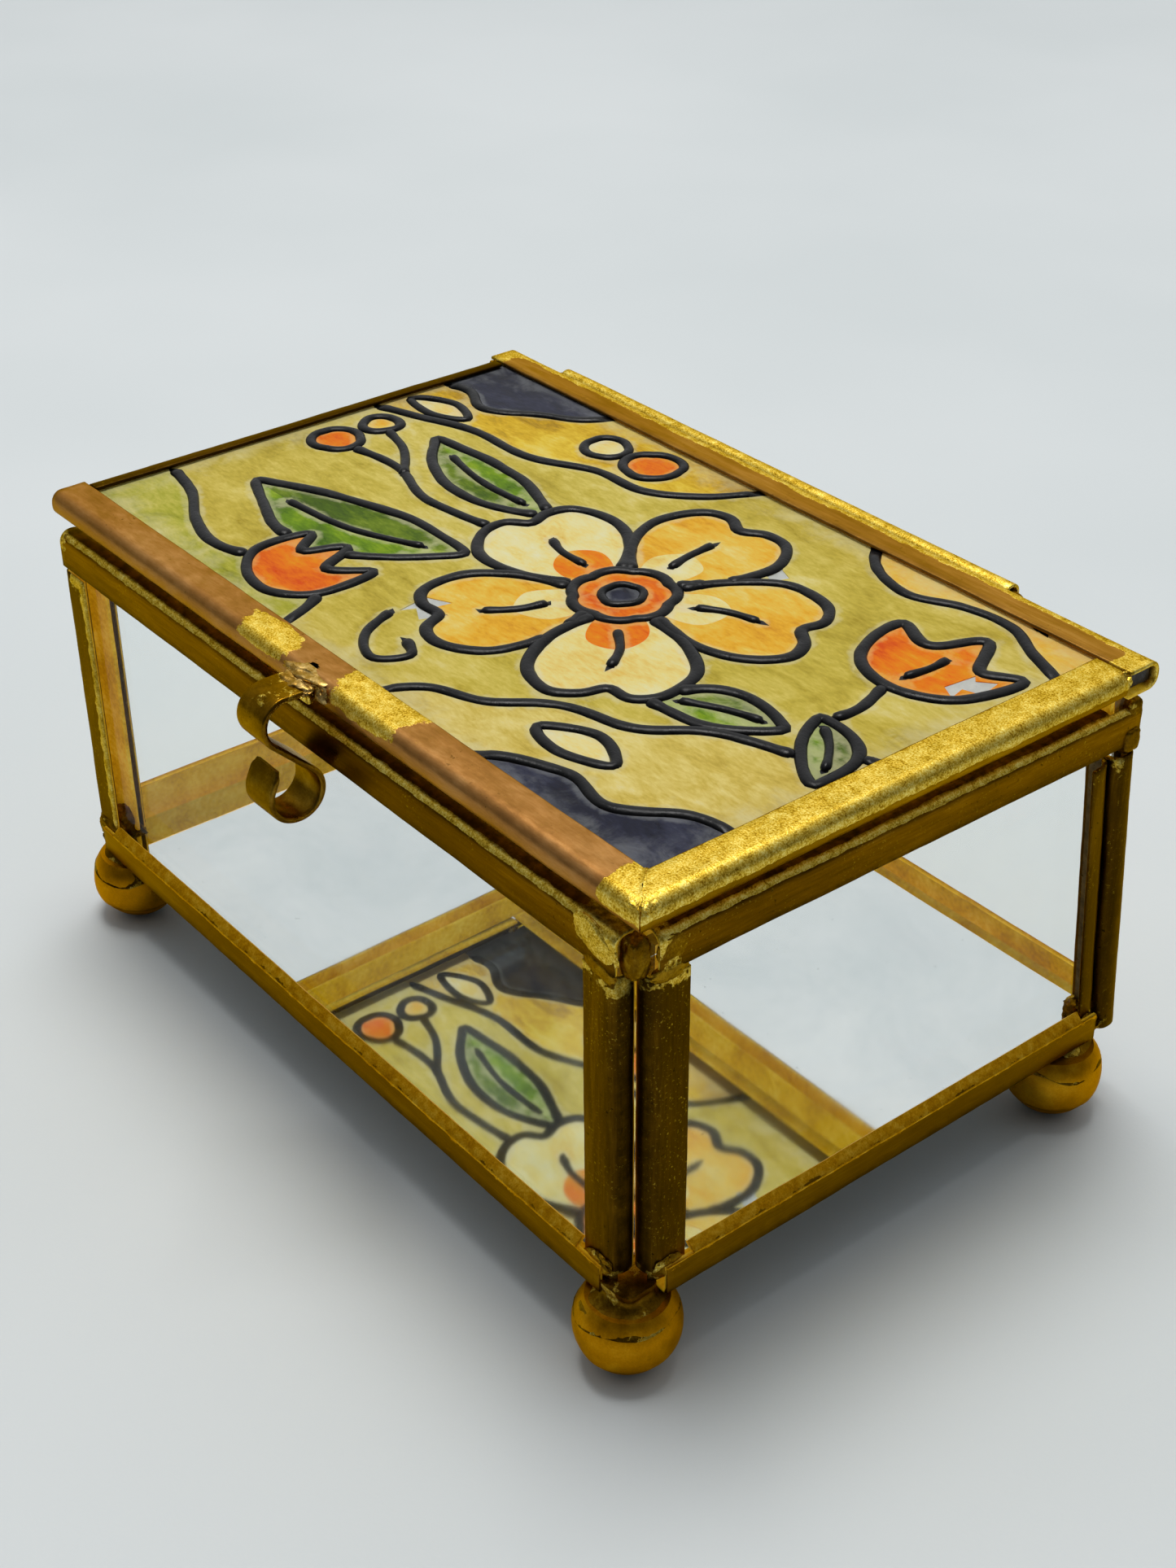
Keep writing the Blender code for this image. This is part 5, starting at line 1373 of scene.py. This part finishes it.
def visible(curve, closed, order):
    """Parts of a line that lie on the pane and are not covered by a field painted later."""
    ok = (curve[:, 0] > PAINT_X0 + 0.9) & (curve[:, 0] < PAINT_X1 - 0.9) & (curve[:, 1] > PAINT_Y0 + 0.9) & (curve[:, 1] < PAINT_Y1 - 0.9)
    for _, outline, covers in fields[order:]:
        if covers:
            ok &= ~inside(curve, outline)
    if ok.all():
        return [(curve, closed)]
    if closed and not ok[0]:
        closed = False
    elif closed:
        first = int(np.argmin(ok))
        curve, ok = np.roll(curve, -first, 0), np.roll(ok, -first)
    runs, now = [], []
    for q, good in zip(curve, ok):
        if good:
            now.append(q)
        elif now:
            runs.append(now)
            now = []
    if now:
        runs.append(now)
    return [(np.array(r), False) for r in runs if len(r) > 5]


def partition():
    """Split the pane into one set of triangles per colour."""
    pts, edges = [], []

    def add(poly, closed):
        first = len(pts)
        pts.extend(Vector((float(x), float(y))) for x, y in poly)
        edges.extend((k, k + 1) for k in range(first, len(pts) - 1))
        if closed:
            edges.append((len(pts) - 1, first))

    add([(PAINT_X0, PAINT_Y0), (PAINT_X1, PAINT_Y0), (PAINT_X1, PAINT_Y1), (PAINT_X0, PAINT_Y1)], True)
    for _, outline, _ in fields:
        add(outline, True)
    for curve, closed, width in drawn:
        for side in ribbon(curve, closed, width * BLACK_SHARE):
            add(side, closed)
    for i, x in enumerate(np.arange(PAINT_X0 + 0.5, PAINT_X1 - 0.3, 0.95)):
        for y in np.arange(PAINT_Y0 + 0.5 + 0.45 * (i % 2), PAINT_Y1 - 0.3, 0.95):
            jolt = noise.noise_vector(Vector((x * 3.1, y * 3.1, 0.7)))
            pts.append(Vector((x + 0.25 * jolt.x, y + 0.25 * jolt.y)))
    v, _, tris, _, _, _ = geometry.delaunay_2d_cdt(pts, edges, [], 0, 1e-4, False)
    v = np.array([tuple(p) for p in v])
    tris = np.array([tuple(t) for t in tris])
    mid = v[tris].mean(1)
    keep = (mid[:, 0] > PAINT_X0) & (mid[:, 0] < PAINT_X1) & (mid[:, 1] > PAINT_Y0) & (mid[:, 1] < PAINT_Y1)
    tris, mid = tris[keep], mid[keep]
    kind = np.full(len(tris), "olive", dtype=object)
    for colour, outline, _ in fields:
        kind[inside(mid, outline)] = colour
    for curve, closed, width in drawn:
        kind[nearest(mid, curve, closed) < width * BLACK_SHARE] = "black"
    gap = np.full(len(v), 1e9)
    for curve, closed, width in drawn:
        gap = np.minimum(gap, nearest(v, curve, closed) - width / 2)
    beside = 1 - step(0.0, 1.5, gap)
    return v, beside, {key: [tuple(t) for t in tris[kind == key]] for key in sorted(set(kind))}


def film(name, v2, beside, tris, mat, z0, z1, slot):
    """Closed film of paint over a set of triangles."""
    used = sorted({k for t in tris for k in t})
    index = {k: i for i, k in enumerate(used)}
    n = len(used)
    flat = v2[used]
    verts = [(x, y, z1) for x, y in flat] + [(x, y, z0) for x, y in flat]
    faces, kinds, edges = [], [], {}
    for t in tris:
        a, b, c = (index[k] for k in t)
        pa, pb, pc = flat[a], flat[b], flat[c]
        if (pb[0] - pa[0]) * (pc[1] - pa[1]) - (pb[1] - pa[1]) * (pc[0] - pa[0]) < 0:
            b, c = c, b
        faces.append((a, b, c))
        kinds.append(0)
        faces.append((c + n, b + n, a + n))
        kinds.append(1)
        for e in ((a, b), (b, c), (c, a)):
            edges[e] = edges.get(e, 0) + 1
    for a, b in edges:
        if (b, a) not in edges:
            faces.append((a, a + n, b + n, b))
            kinds.append(0)
    rim = np.concatenate([beside[used], beside[used]])
    return make(name, np.array(verts), faces, [mat, BACKING], "lid", gold=rim, face_mats=kinds, angle=30)


THIN = srgb(236, 230, 186)
PAINTS = {
    "olive": enamel("paint_olive", (srgb(182, 158, 36), srgb(214, 192, 70), srgb(232, 212, 104), srgb(244, 230, 158)), 24, THIN),
    "mustard": enamel("paint_mustard", (srgb(182, 138, 2), srgb(230, 184, 18), srgb(248, 212, 60), srgb(254, 234, 130)), -18, THIN),
    "ochre": enamel("paint_ochre", (srgb(198, 168, 56), srgb(230, 204, 96), srgb(246, 226, 136), srgb(252, 240, 186)), 40, THIN),
    "sage": enamel("paint_sage", (srgb(146, 150, 24), srgb(186, 186, 54), srgb(212, 206, 92), srgb(234, 228, 154)), 70, THIN),
    "amber": enamel("paint_amber", (srgb(232, 150, 8), srgb(254, 190, 40), srgb(255, 212, 84), srgb(255, 234, 148)), -35, srgb(250, 236, 180)),
    "cream": enamel("paint_cream", (srgb(250, 208, 96), srgb(255, 234, 146), srgb(255, 244, 180), srgb(255, 250, 218)), 62, srgb(248, 244, 220)),
    "orange": enamel("paint_orange", (srgb(240, 84, 0), srgb(255, 128, 0), srgb(255, 160, 14), srgb(255, 200, 84)), 8, srgb(255, 214, 130), glow=0.04),
    "green": enamel("paint_green", (srgb(68, 106, 0), srgb(110, 150, 2), srgb(146, 178, 22), srgb(194, 206, 90)), -50, THIN, glow=0.06),
    "fern": enamel("paint_fern", (srgb(46, 74, 0), srgb(80, 110, 4), srgb(116, 142, 20), srgb(170, 182, 78)), -20, THIN, glow=0.06),
    "slate": enamel("paint_slate", (srgb(14, 15, 28), srgb(27, 29, 46), srgb(44, 46, 64), srgb(84, 86, 98)), 12, srgb(124, 126, 128), 0.06),
    "chip": chipped("paint_chip"),
    "black": BLACK,
}
FILM_Z0, FILM_Z1 = PANE_TOP + 0.02, PANE_TOP + 0.12
drawn = [(part, loop, width) for curve, closed, width, order in lines for part, loop in visible(curve, closed, order)]
flat_points, beside_lines, groups = partition()
for key in sorted(groups):
    low = FILM_Z1 - 0.07 if key == "chip" else FILM_Z1
    film(f"paint_{key}", flat_points, beside_lines, groups[key], PAINTS[key], FILM_Z0, low,
         "paint_black" if key == "black" else "painted_lid")


def relief(name, curve, closed, width, seed):
    """Raised line of contour paint: a low rounded bead with blunt ends."""
    curve = even(curve, closed, 0.42)
    inside = np.array([p for p in curve])
    n = len(inside)
    t = np.roll(curve, -1, 0) - np.roll(curve, 1, 0) if closed else np.gradient(curve, axis=0)
    t /= np.maximum(np.linalg.norm(t, axis=1, keepdims=True), 1e-9)
    nrm = np.stack([-t[:, 1], t[:, 0]], 1)
    section = [(-1.0, 0.0), (-0.93, 0.36), (-0.72, 0.70), (-0.40, 0.93), (0.0, 1.0), (0.40, 0.93), (0.72, 0.70), (0.93, 0.36), (1.0, 0.0)]
    x0, x1, y0, y1 = WINDOW
    verts, faces = [], []
    m = len(section)
    for i in range(n):
        x, y = curve[i]
        w = width / 2 * (1 + 0.16 * noise.noise(Vector((i * 0.09, seed, 0.3))) + 0.08 * noise.noise(Vector((i * 0.35, seed, 4.0))))
        h = 0.36 * (1 + 0.22 * noise.noise(Vector((i * 0.12, seed, 9.0))))
        if not closed:
            e = min(i, n - 1 - i) * 0.42
            cap = math.sqrt(max(0.0, 1 - max(0.0, 1 - e / (w * 1.05)) ** 2))
            blob = 1 + 0.20 * max(0.0, 1 - abs(e - 0.8) / 1.0)
            w *= max(cap, 0.12) * blob
            h *= max(cap, 0.15) * blob
        rim = min(x - x0, x1 - x, y - y0, y1 - y)
        h *= 0.22 + 0.78 * float(step(-0.1, 1.2, rim))
        for u, v in section:
            verts.append((x + nrm[i][0] * u * w, y + nrm[i][1] * u * w, FILM_Z1 - 0.03 + h * v))
    rows = n if closed else n - 1
    for i in range(rows):
        a, b = i * m, ((i + 1) % n) * m
        for k in range(m):
            j = (k + 1) % m
            faces.append((a + k, a + j, b + j, b + k))
    if not closed:
        faces.append(tuple(range(m))[::-1])
        faces.append(tuple(range((n - 1) * m, n * m)))
    return make(name, np.array(verts), faces, [BLACK], "lid", angle=70)


for count, (curve, closed, width) in enumerate(drawn, 1):
    relief(f"contour_{count:02d}", curve, closed, width, count * 2.3)


# ======================================================================================
# Stage, light and camera
# ======================================================================================
def build_floor():
    rings, around = 26, 64
    verts, faces = [(0.0, 0.0, 0.0)], []
    for i in range(1, rings + 1):
        r = 4.0 * (i / rings) ** 2
        verts += [(r * math.cos(2 * math.pi * k / around), r * math.sin(2 * math.pi * k / around), 0.0) for k in range(around)]
    for k in range(around):
        m = (k + 1) % around
        faces.append((0, 1 + k, 1 + m))
        for s in range(rings - 1):
            a, b = 1 + s * around, 1 + (s + 1) * around
            faces.append((a + k, b + k, b + m, a + m))
    mesh = bpy.data.meshes.new("floor")
    mesh.from_pydata(verts, [], faces)
    mesh.materials.append(floor_paper("floor_finish"))
    mesh.update()
    obj = bpy.data.objects.new("floor", mesh)
    bpy.context.scene.collection.objects.link(obj)


build_floor()

scene = bpy.context.scene
world = bpy.data.worlds.new("studio")
scene.world = world
world.use_nodes = True
wt = world.node_tree
wt.nodes.clear()
w_out = wt.nodes.new("ShaderNodeOutputWorld")
w_bg = wt.nodes.new("ShaderNodeBackground")
w_dir = wt.nodes.new("ShaderNodeTexCoord")
w_sep = wt.nodes.new("ShaderNodeSeparateXYZ")
w_ramp = wt.nodes.new("ShaderNodeValToRGB")
w_dot = wt.nodes.new("ShaderNodeVectorMath")
w_dot.operation = "DOT_PRODUCT"
w_dot.inputs[1].default_value = (-0.52, 0.50, 0.69)
w_map = wt.nodes.new("ShaderNodeMapRange")
w_map.inputs["From Min"].default_value = -1.0
w_map.inputs["From Max"].default_value = 1.0
wt.links.new(w_dir.outputs["Generated"], w_dot.inputs[0])
wt.links.new(w_dot.outputs["Value"], w_map.inputs["Value"])
wt.links.new(w_map.outputs["Result"], w_ramp.inputs["Fac"])
for e, (at, c) in zip((w_ramp.color_ramp.elements[0], w_ramp.color_ramp.elements.new(0.45), w_ramp.color_ramp.elements.new(0.7),
                       w_ramp.color_ramp.elements[-1]),
                      ((0.0, (0.06, 0.06, 0.07)), (0.45, (0.13, 0.14, 0.15)), (0.74, (0.70, 0.73, 0.74)), (1.0, (1.45, 1.47, 1.48)))):
    e.position = at
    e.color = (*c, 1.0)
wt.links.new(w_ramp.outputs["Color"], w_bg.inputs["Color"])
w_bg.inputs["Strength"].default_value = 0.53
wt.links.new(w_bg.outputs["Background"], w_out.inputs["Surface"])


def softbox(name, at, target, size, power, colour):
    data = bpy.data.lights.new(name, "AREA")
    data.shape, data.size, data.size_y = "RECTANGLE", size[0], size[1]
    data.energy = power
    data.color = colour
    obj = bpy.data.objects.new(name, data)
    scene.collection.objects.link(obj)
    obj.location = at
    obj.rotation_mode = "QUATERNION"
    obj.rotation_quaternion = (Vector(target) - Vector(at)).to_track_quat("-Z", "Y")


softbox("key_softbox", (-0.15, 0.10, 0.98), (0, 0, 0.03), (0.42, 0.42), 6.6, (1.0, 0.99, 0.97))

cam_data = bpy.data.cameras.new("camera")
cam = bpy.data.objects.new("camera", cam_data)
scene.collection.objects.link(cam)
az, el, roll = math.radians(51.593), math.radians(32.673), math.radians(-0.44)
back = Vector((math.sin(az) * math.cos(el), -math.cos(az) * math.cos(el), math.sin(el)))
right = Vector((0, 0, 1)).cross(back).normalized()
up = back.cross(right)
r2 = math.cos(roll) * right + math.sin(roll) * up
u2 = -math.sin(roll) * right + math.cos(roll) * up
place = Vector((165.741, -128.708, 163.482)) * 0.85e-3 + Vector((0, ORIGIN_Y * MM, 0))
cam.matrix_world = Matrix(((r2.x, u2.x, back.x, place.x), (r2.y, u2.y, back.y, place.y), (r2.z, u2.z, back.z, place.z), (0, 0, 0, 1)))
cam_data.sensor_fit = "AUTO"
cam_data.sensor_width = 36.0
cam_data.lens = 2807.57 / 1927 * 36.0
cam_data.clip_start, cam_data.clip_end = 0.001, 50.0
scene.camera = cam

scene.view_settings.view_transform = "Standard"
scene.view_settings.look = "None"
scene.cycles.transparent_max_bounces = 24
scene.cycles.max_bounces = 12
